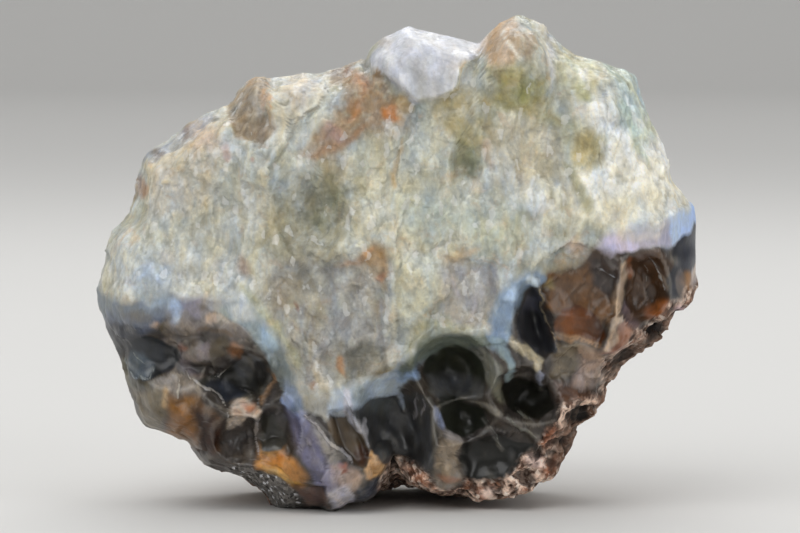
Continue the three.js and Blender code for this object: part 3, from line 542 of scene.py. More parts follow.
glassTouches = [
    # lower left, under the band
    ((92, 100, 118), 0.9, 0, 2.0, [(-62, 42), (-50, 42), (-44, 42), (-46, 38), (-50, 35), (-56, 33),
        (-60, 36)]),
    ((58, 58, 62), 0.9, 0, 1.6, [(-60, 37), (-52, 38), (-50, 34), (-53, 31), (-57, 31)]),
    ((100, 98, 80), 0.8, 1.2, 1.2, [(-54.6, 29.4), (-53.6, 26.4), (-51, 24.6)]),
    ((58, 54, 38), 0.8, 1.2, 1.0, [(-52.4, 25.8), (-49.4, 25.6), (-46.6, 27)]),
    ((150, 162, 168), 0.7, 0.22, 0.5, [(-53.6, 31.6), (-53.9, 29.4), (-53, 27.4), (-51.2, 26.6),
        (-49.4, 27.4), (-48.8, 28.8), (-49.6, 30.2)]),
    ((150, 160, 165), 0.6, 0.2, 0.5, [(-52.6, 31.2), (-51, 30), (-49.8, 29.8)]),
    ((95, 82, 52), 0.8, 1.0, 1.0, [(-46.4, 37), (-44.2, 36.8)]),
    ((190, 158, 130), 0.8, 0.6, 1.0, [(-48.4, 37.6), (-46.8, 37.6)]),
    ((150, 140, 135), 0.7, 0.9, 1.2, [(-46, 34.6), (-43, 33.6)]),
    ((142, 92, 70), 0.85, 0.8, 1.0, [(-43.6, 33.4), (-41.8, 33)]),
    ((118, 108, 112), 0.85, 0, 1.0, [(-43.4, 32), (-40.6, 32.4), (-39.6, 29.4), (-37.6, 26.8),
        (-40.6, 26.8), (-43.2, 29.6)]),
    ((125, 118, 125), 0.8, 1.8, 1.6, [(-40.6, 38.6), (-40, 35.4)]),
    ((134, 126, 122), 0.85, 0, 3, [(-45, 42), (-30, 41.4), (-26.6, 36), (-30, 34.6), (-38, 37), (-45, 35)]),
    ((132, 122, 114), 0.8, 1.4, 2, [(-45.6, 36.4), (-41, 35.4), (-39.6, 31)]),
    ((182, 176, 170), 0.9, 1.6, 2.0, [(-35.2, 39.4), (-33, 38.6)]),
    # brown lump and the dark bowl beside it
    ((128, 118, 122), 0.85, 2.6, 1.6, [(-39, 33.4), (-37.4, 31.4)]),
    ((78, 68, 52), 0.95, 2.6, 1.6, [(-36.4, 33.6), (-34, 32)]),
    ((150, 105, 70), 0.9, 1.6, 1.4, [(-32.4, 33.6), (-31.6, 31.4)]),
    ((95, 75, 55), 0.7, 0.5, 0.6, [(-40, 36.2), (-36.6, 36.6), (-32.4, 35.2)]),
    ((205, 180, 160), 0.85, 1.3, 1.2, [(-36.6, 39.6), (-35.4, 38.4)]),
    ((75, 80, 95), 0.5, 0.3, 0.5, [(-31, 25), (-28.6, 23.2)]),
    # amber dome
    ((150, 140, 130), 0.95, 0, 1.4, [(-48.4, 26.4), (-44, 28.4), (-40, 27), (-37.8, 23.6), (-42, 21.4),
        (-47.6, 22)]),
    ((126, 84, 28), 0.95, 0, 2.4, [(-46.4, 23.4), (-40, 24), (-36, 20), (-35, 13), (-41, 12.4),
        (-45, 15.4)]),
    ((142, 90, 26), 0.8, 2.2, 3.4, [(-43, 20.4), (-41.4, 16)]),
    ((50, 24, 8), 1, 0, 3.0, [(-39.6, 20.6), (-36, 20.4), (-33.8, 15), (-36, 11.6), (-40.4, 12)]),
    ((116, 106, 88), 0.9, 0, 1.6, [(-52.4, 23.6), (-47, 25.4), (-46, 20), (-46.6, 16.6), (-51, 17)]),
    ((205, 170, 120), 0.6, 0.5, 1.0, [(-46.4, 24.6), (-46.2, 21)]),
    ((205, 195, 180), 0.8, 0.35, 0.5, [(-43.4, 26.4), (-43.4, 23)]),
    ((190, 180, 165), 0.5, 0.5, 0.8, [(-51, 16.8), (-45.6, 15.4), (-41.6, 13.4)]),
    # orange lump, dark facets and tan spindle
    ((206, 186, 166), 0.95, 0, 0.9, [(-33.6, 20.6), (-30.4, 22.6), (-29.4, 22.8), (-26.8, 21.4),
        (-27.6, 19), (-31.4, 18.8)]),
    ((198, 126, 82), 0.9, 1.2, 1.8, [(-29.6, 21.4), (-28, 20.8)]),
    ((198, 160, 132), 0.7, 0.9, 1.0, [(-31.6, 20)]),
    ((214, 196, 178), 0.9, 0, 0.9, [(-34, 19.4), (-31.6, 19.2), (-29.4, 18.6), (-30.4, 16.4),
        (-33.4, 16.8)]),
    ((88, 80, 74), 0.9, 0, 1.2, [(-34, 16.4), (-29, 16.8), (-27.8, 11.6), (-33, 10.4)]),
    ((160, 152, 152), 0.8, 0.35, 0.5, [(-26.6, 20.4), (-27.4, 17), (-27.6, 14), (-26.8, 11.4)]),
    ((150, 116, 84), 0.9, 0.7, 0.8, [(-24, 30.2), (-25.4, 26), (-26.4, 22)]),
    ((205, 200, 195), 0.8, 0.28, 0.45, [(-41.6, 28.4), (-39.4, 26.4), (-37.4, 24.4), (-35, 22.8),
        (-33.6, 21.4), (-34.2, 20.2)]),
    ((190, 186, 182), 0.8, 0.28, 0.45, [(-37, 26.6), (-35.2, 26.6), (-34.6, 27.8), (-32.6, 29.2)]),
    # amber tongue and the sugary ground under it
    ((84, 78, 74), 0.95, 0, 1.0, [(-31, 8.4), (-27.6, 8.2), (-24, 7.2), (-21, 5), (-19.6, 2.6), (-22, -1),
        (-30, -1)]),
    ((108, 80, 70), 0.9, 0, 1.0, [(-19.8, 5.6), (-16, 6), (-13.4, 5), (-13.6, 1.6), (-18.4, 1.4)]),
    ((150, 140, 130), 0.7, 1.0, 1.2, [(-39.6, 8.8), (-37.4, 8.4)]),
    ((206, 138, 46), 0.95, 0, 2.2, [(-28, 10), (-26.4, 12.6), (-22.8, 12.8), (-19.6, 10.6), (-17.4, 8),
        (-19, 6), (-21, 5.4), (-24, 7.6), (-28, 8.6)]),
    ((205, 125, 45), 0.7, 1.4, 1.6, [(-26, 11.6), (-22, 11.4)]),
    ((150, 112, 44), 0.7, 1.4, 2.4, [(-26, 12.4), (-22.8, 12.4)]),
    ((234, 178, 84), 0.8, 0.6, 1.2, [(-26, 9.2), (-22.6, 8), (-20, 6.8)]),
    # violet facet, the two ridges and the foot
    ((116, 114, 142), 0.95, 0, 1.4, [(-22, 24), (-18, 20.6), (-12.6, 15.4), (-11, 10), (-13, 4), (-16, 8),
        (-20, 14), (-21.6, 20)]),
    ((150, 160, 196), 0.85, 1.6, 2.2, [(-20.6, 22.6), (-18.4, 19.4)]),
    ((150, 145, 138), 0.85, 0, 1.6, [(-17.6, 20), (-13.4, 16.4), (-10.6, 11.6), (-12, 9.6), (-14, 14)]),
    ((190, 165, 150), 0.8, 0, 1.6, [(-12.4, 10), (-8, 9.4), (-5.4, 8.4), (-8, 5.4), (-12, 5)]),
    ((172, 92, 58), 0.85, 1.3, 1.4, [(-11.2, 9.6), (-10.4, 9)]),
    ((195, 190, 190), 0.85, 0.35, 0.5, [(-18, 20.6), (-15.6, 18.4), (-12.6, 15.4), (-10, 12), (-8, 9.8)]),
    ((218, 168, 110), 0.95, 0, 0.8, [(-5.4, 12.4), (-1.6, 9), (-2.2, 7), (-4.4, 6.8), (-5.6, 9.4)]),
    ((203, 198, 210), 0.95, 0, 1.0, [(-13.4, 5.4), (-10, 6.4), (-8.4, 4), (-8.8, 1), (-12.4, 0.6)]),
    # painted shade: the dark bluish rock behind the notch, in shadow
    ((46, 50, 64), 0.95, 0, 0.9, [(-7.6, 5.6), (-4, 6.4), (-2, 5), (-4.4, 1), (-7.6, 1)]),
    # dark middle
    ((104, 104, 126), 0.5, 0.3, 0.7, [(4.2, 23.6), (3.8, 20.4), (3.6, 18.6)]),
    ((104, 104, 124), 0.5, 0.3, 0.7, [(5.4, 23.4), (5.2, 20)]),
    ((75, 75, 88), 0.6, 0.8, 1.2, [(5.6, 13.6), (5.8, 10.6)]),
    ((150, 160, 190), 0.9, 0.6, 0.8, [(6.8, 22), (8, 20), (9.2, 16.4)]),
    ((158, 150, 148), 0.9, 0.9, 1.2, [(9.2, 16.4), (10.4, 14.4), (13, 14)]),
    ((152, 138, 122), 0.95, 0, 1.4, [(8.6, 14.6), (13, 14.2), (12.6, 10), (13.2, 5), (7.4, 4.6), (7.6, 9)]),
    ((185, 110, 60), 0.6, 0.8, 1.2, [(8.4, 8.4), (12, 6.4)]),
    # bowls of the right lobe
    ((124, 124, 112), 0.85, 1.5, 1.2, [(16.4, 33), (18.6, 29.6), (20, 25.6), (20.8, 22.6)]),
    ((150, 146, 140), 0.8, 0.7, 0.7, [(14.6, 22.7), (17.4, 21.7), (20.8, 19.6)]),
    ((112, 114, 106), 0.7, 0.25, 0.5, [(17.4, 18.4), (19.6, 15), (21.2, 12)]),
    ((116, 118, 112), 0.75, 0.35, 0.5, [(21, 19.6), (24.6, 17), (28, 14.8)]),
    ((110, 112, 105), 0.7, 0.35, 0.5, [(24, 20.4), (27, 18.4)]),
    ((198, 186, 158), 0.95, 1.0, 0.7, [(22.2, 35), (25, 33), (28, 31.2), (28, 29)]),
    ((160, 165, 185), 0.8, 0.6, 0.8, [(28.2, 29), (28.8, 25.8)]),
    # right: brown, amber and the orange rib
    ((112, 78, 46), 1, 0, 1.6, [(29.4, 48), (34, 48.4), (39.6, 51), (43.6, 51.4), (44.6, 44), (42, 38),
        (34, 38), (30, 40)]),
    ((66, 62, 62), 0.85, 0, 1.8, [(38.6, 50.6), (43.8, 51.4), (44.4, 46), (43.4, 42), (40, 44)]),
    ((160, 138, 78), 0.8, 1.0, 1.4, [(30.2, 45.8)]),
    ((128, 114, 92), 0.95, 0, 2.4, [(31.2, 33), (35, 33.4), (38.6, 32.8), (37, 29), (34, 27), (31, 27.6)]),
    ((176, 152, 138), 0.95, 0, 2.0, [(37, 33), (41, 32.4), (41.6, 29), (39, 25), (35.6, 25.4), (36, 29)]),
    ((98, 66, 46), 0.95, 0, 1.8, [(31.6, 26.4), (35.4, 25.6), (38.6, 24.6), (39.6, 22.4), (34, 21.6),
        (31.6, 22.4)]),
    ((215, 188, 172), 0.9, 1.1, 1.0, [(41, 30), (42.2, 28.6)]),
    ((170, 148, 112), 0.75, 0.35, 0.5, [(27.8, 45.6), (29, 42.6), (28.8, 39.6), (30.6, 36), (32, 32.6)]),
    ((146, 94, 68), 0.95, 0, 1.2, [(43.4, 38), (45.6, 38), (47, 34.6), (44.6, 31.6), (40.8, 31.4),
        (42, 35)]),
    ((76, 52, 32), 1, 0, 1.2, [(46, 51), (52, 52.6), (54.2, 50), (54.2, 42), (52, 38.4), (48, 38.4),
        (46, 42)]),
    ((90, 80, 78), 0.6, 1.2, 2, [(47.4, 50.4), (51, 51)]),
    ((150, 95, 60), 0.8, 0.8, 0.9, [(45.6, 50.4), (46, 46)]),
    ((200, 174, 148), 0.95, 0.95, 0.9, [(44.8, 49.6), (44.6, 43.6), (43.8, 40), (43.2, 37), (41.6, 32.6)]),
    ((170, 98, 42), 0.75, 0.9, 1.6, [(49.4, 39.4), (52, 40.4), (53.8, 41.6)]),
    ((122, 104, 108), 0.9, 1.1, 1.4, [(45.8, 41), (47, 37)]),
    ((185, 190, 198), 0.8, 0.2, 0.4, [(40, 49.2), (41.4, 47.6), (43.4, 46.4)]),
    ((165, 162, 162), 0.6, 0.15, 0.4, [(48, 50), (50, 47), (49.8, 45)]),
    ((185, 190, 198), 0.8, 0.2, 0.4, [(50.6, 49.8), (52.4, 47.4), (53.6, 45.8), (54, 44)]),
]

paneTouches = [  # broken faces with a sharp edge, mostly dark
    ((44, 48, 54), 1, 0, 0.7, [(-53, 34), (-50, 34.6), (-46, 34), (-43.6, 32.4), (-42.8, 31.6),
        (-43.2, 29.8), (-44.4, 28.6), (-49, 27), (-53, 26)]),
    ((60, 60, 58), 1, 0, 0.7, [(-39.4, 26.4), (-36.6, 27), (-34, 28.2), (-30.6, 31), (-27, 31.4),
        (-25.2, 27), (-26, 23.6), (-28.4, 23.6), (-30, 22.4), (-33.4, 21.8), (-37, 24)]),
    ((104, 116, 128), 0.8, 1.9, 1.4, [(-51.2, 29.2)]),
    ((56, 62, 76), 0.7, 1.6, 1.6, [(-36.4, 24.6), (-31, 23)]),
    ((118, 118, 120), 0.85, 0, 1.4, [(-31, 31), (-27, 31), (-26, 28), (-27, 26.6), (-31.4, 28.6)]),
    ((30, 28, 24), 0.8, 0.9, 1.0, [(-26.4, 30), (-26.8, 24.6)]),
    ((66, 64, 58), 0.95, 0, 1.0, [(-26.4, 20), (-23.4, 20.4), (-22, 15), (-22.6, 12.6), (-26.4, 12.8)]),
    ((245, 190, 90), 0.8, 0.5, 0.7, [(-27.4, 8.8), (-24, 7.9), (-21, 6.2), (-19.2, 6.6)]),
    ((92, 76, 56), 0.95, 0, 0.9, [(-13, 19.6), (-9.4, 20.4), (-7.6, 18), (-5.6, 12.6), (-5.6, 10),
        (-8.2, 10.4), (-11.4, 15)]),
    ((72, 38, 24), 0.8, 1.0, 1.4, [(-7.2, 12.6), (-6.6, 10.8)]),
    ((60, 60, 61), 1, 0, 1.2, [(-8.4, 22), (-3, 24), (2, 23.6), (7, 24), (8, 16), (7.4, 9.4), (2, 9.6),
        (-1.4, 8.6), (-4.8, 12), (-6.8, 17.4)]),
    # painted sheen, pale teal, on the dark middle
    ((88, 92, 92), 0.8, 2, 3.0, [(-5.6, 21), (-1.6, 21.6)]),
    ((34, 33, 32), 0.9, 2.2, 3.0, [(1, 12.4), (5, 12.6)]),
    ((44, 46, 34), 1, 6.2, 0.9, [(11.8, 28.4)]),
    ((96, 96, 98), 0.85, 0, 2.4, [(6.6, 26.4), (12, 26), (17.4, 26), (17, 23.6), (12, 23.4), (7.4, 23.8)]),
    ((38, 40, 32), 1, 0, 1.0, [(8, 22.6), (13, 22.4), (17.6, 20.4), (17.4, 17), (13, 14.6), (9.4, 16)]),
    ((32, 31, 25), 1, 0, 1.0, [(21.4, 26.4), (26, 26.4), (30.4, 25.4), (31, 21), (28, 18.4), (22.4, 20.4),
        (21, 23)]),
    ((24, 24, 20), 1, 0, 1.4, [(13, 14), (20, 15), (28, 13.6), (28.6, 9.6), (24, 6), (14, 5.6)]),
    ((58, 58, 62), 1, 0, 0.7, [(27.6, 45), (29.2, 42.4), (29, 40), (31.8, 33), (31.8, 31.8), (28, 32),
        (24.4, 34.6), (23.4, 37), (24.6, 41)]),
    ((112, 112, 126), 0.8, 1.4, 1.8, [(26, 40.6), (27.4, 41.6)]),
    ((106, 58, 16), 1, 0, 3.0, [(31.6, 37.2), (33.4, 40), (36, 41), (39.6, 39.4), (41, 36.4), (40.6, 33.6),
        (37, 34.2), (34, 34.2), (31.8, 35.2)]),
    ((140, 80, 26), 0.7, 1.6, 3.0, [(33.6, 37.4), (36.4, 36.4)]),
    ((72, 38, 16), 0.8, 0.8, 1.6, [(39.8, 38.8), (40.6, 34.4)]),
    ((176, 140, 104), 0.8, 0.3, 0.6, [(32, 34.6), (35, 33.8), (38, 34), (40.4, 33)]),
    # flat right face
    ((46, 49, 60), 1, 0, 0.8, [(54.4, 59), (57, 60.4), (62, 60), (62, 40), (56.4, 41), (54.4, 42)]),
    ((30, 32, 40), 0.6, 1.4, 1.6, [(56, 56), (56.2, 46)]),
    ((168, 118, 60), 0.85, 0.8, 1.0, [(58.4, 47), (58.6, 42.6)]),
    ((120, 110, 105), 0.7, 0.4, 0.6, [(57, 47.6), (57.2, 42)]),
    ((205, 192, 188), 0.9, 0.5, 0.6, [(60, 48), (59.8, 44), (59.2, 41.4)]),
]

bandTouches = [
    # band, left
    ((125, 132, 135), 0.9, 1.8, 1.6, [(-63, 40.8), (-57, 40)]),
    ((126, 132, 138), 0.9, 1.8, 1.6, [(-56, 40), (-52, 41), (-47.6, 41.8), (-44.4, 41.4)]),
    ((118, 110, 96), 0.75, 0.7, 1.4, [(-53.6, 39.2), (-48.6, 38.8)]),
    ((172, 186, 200), 0.7, 0.7, 1.4, [(-49.4, 42.6), (-45.6, 42.8)]),
    ((134, 128, 138), 0.8, 1.3, 1.8, [(-40.2, 42.8), (-38.8, 39)]),
    # painted highlight, bluish white, on the band
    ((190, 208, 232), 0.85, 0.8, 1.6, [(-43.6, 42), (-43.3, 38.6)]),
    ((150, 162, 168), 0.95, 2.1, 1.6, [(-33, 41), (-30, 39.8), (-27.2, 37), (-25, 33.6)]),
    ((104, 112, 114), 0.95, 2.1, 2.4, [(-24.8, 32.6), (-22.8, 29.4), (-21.4, 26)]),
    ((120, 132, 152), 0.95, 2.0, 2.4, [(-21.4, 26), (-20.6, 23.6), (-19.8, 20.6)]),
    ((206, 208, 206), 0.9, 1.5, 2.0, [(-31.4, 41.2), (-28.4, 39.8)]),
    # painted highlight, light blue, on the band's arc
    ((166, 188, 208), 0.85, 1.3, 1.6, [(-26, 36), (-24.6, 34)]),
    ((165, 180, 215), 0.85, 1.3, 1.6, [(-22.2, 24), (-21, 22)]),
    # band, middle
    ((160, 155, 142), 0.9, 0, 1.2, [(-18, 25), (-12.4, 25.4), (-11.6, 21), (-13, 19.4), (-17, 21.4)]),
    ((190, 200, 212), 0.9, 0, 0.8, [(-12.8, 25.4), (-10.4, 25.2), (-8.8, 21.4), (-9.6, 20.4), (-12, 20.8)]),
    ((166, 176, 186), 0.97, 0, 0.8, [(-10.4, 25), (-5, 27.8), (-0.6, 28.4), (0.6, 26), (1.4, 23),
        (0.2, 23.8), (-4, 23), (-7.6, 21.4)]),
    ((138, 146, 146), 0.7, 0.8, 1.6, [(-7.4, 25.6), (-6.4, 22.4)]),
    ((190, 202, 212), 0.7, 0.7, 1.6, [(-3.6, 27), (-2.8, 23.8)]),
    ((215, 210, 215), 0.8, 0.4, 0.5, [(-10, 25), (-8.6, 21), (-7, 17.6), (-5.6, 13.4)]),
    ((140, 164, 198), 0.9, 0, 1.2, [(0.4, 28.4), (4.4, 30), (4.6, 26.4), (1, 27.8)]),
    ((135, 145, 160), 0.9, 0.45, 0.7, [(0.2, 24), (1.6, 19.8)]),
    ((106, 113, 102), 0.95, 1.7, 1.4, [(1.6, 28.6), (3.4, 30.8), (6, 33), (9.4, 34.8), (13, 35.2),
        (16.4, 35), (19, 34.4)]),
    # band, right
    ((134, 152, 174), 0.95, 2.1, 1.0, [(19.6, 35), (20.4, 38.6), (21.4, 42), (23.4, 44.8), (26, 46.6),
        (28.4, 46.8)]),
    ((184, 206, 234), 0.8, 0.9, 1.6, [(22.8, 44), (23.2, 42.6)]),
    ((205, 218, 230), 0.8, 0.7, 1.0, [(26.6, 46.6)]),
    ((138, 156, 164), 0.9, 0.95, 0.8, [(19.6, 34.8), (21.6, 32.4), (22.8, 29.6), (22.8, 26.4)]),
    ((178, 173, 188), 0.97, 0, 0.9, [(40, 52), (44, 51.6), (46, 51.6), (48.2, 52.4), (50.6, 53.4),
        (55, 53.8), (57, 55.6), (60.4, 57.2), (62, 62), (40, 58)]),
    ((214, 206, 232), 0.85, 1.6, 1.8, [(42, 53.4), (46.4, 53)]),
    ((206, 200, 196), 0.7, 0.9, 1.6, [(44, 55.2), (52, 56.2)]),
    ((182, 203, 238), 0.95, 0, 1.0, [(54.6, 54), (57, 55.6), (62, 58), (62, 63), (54.6, 60)]),
]

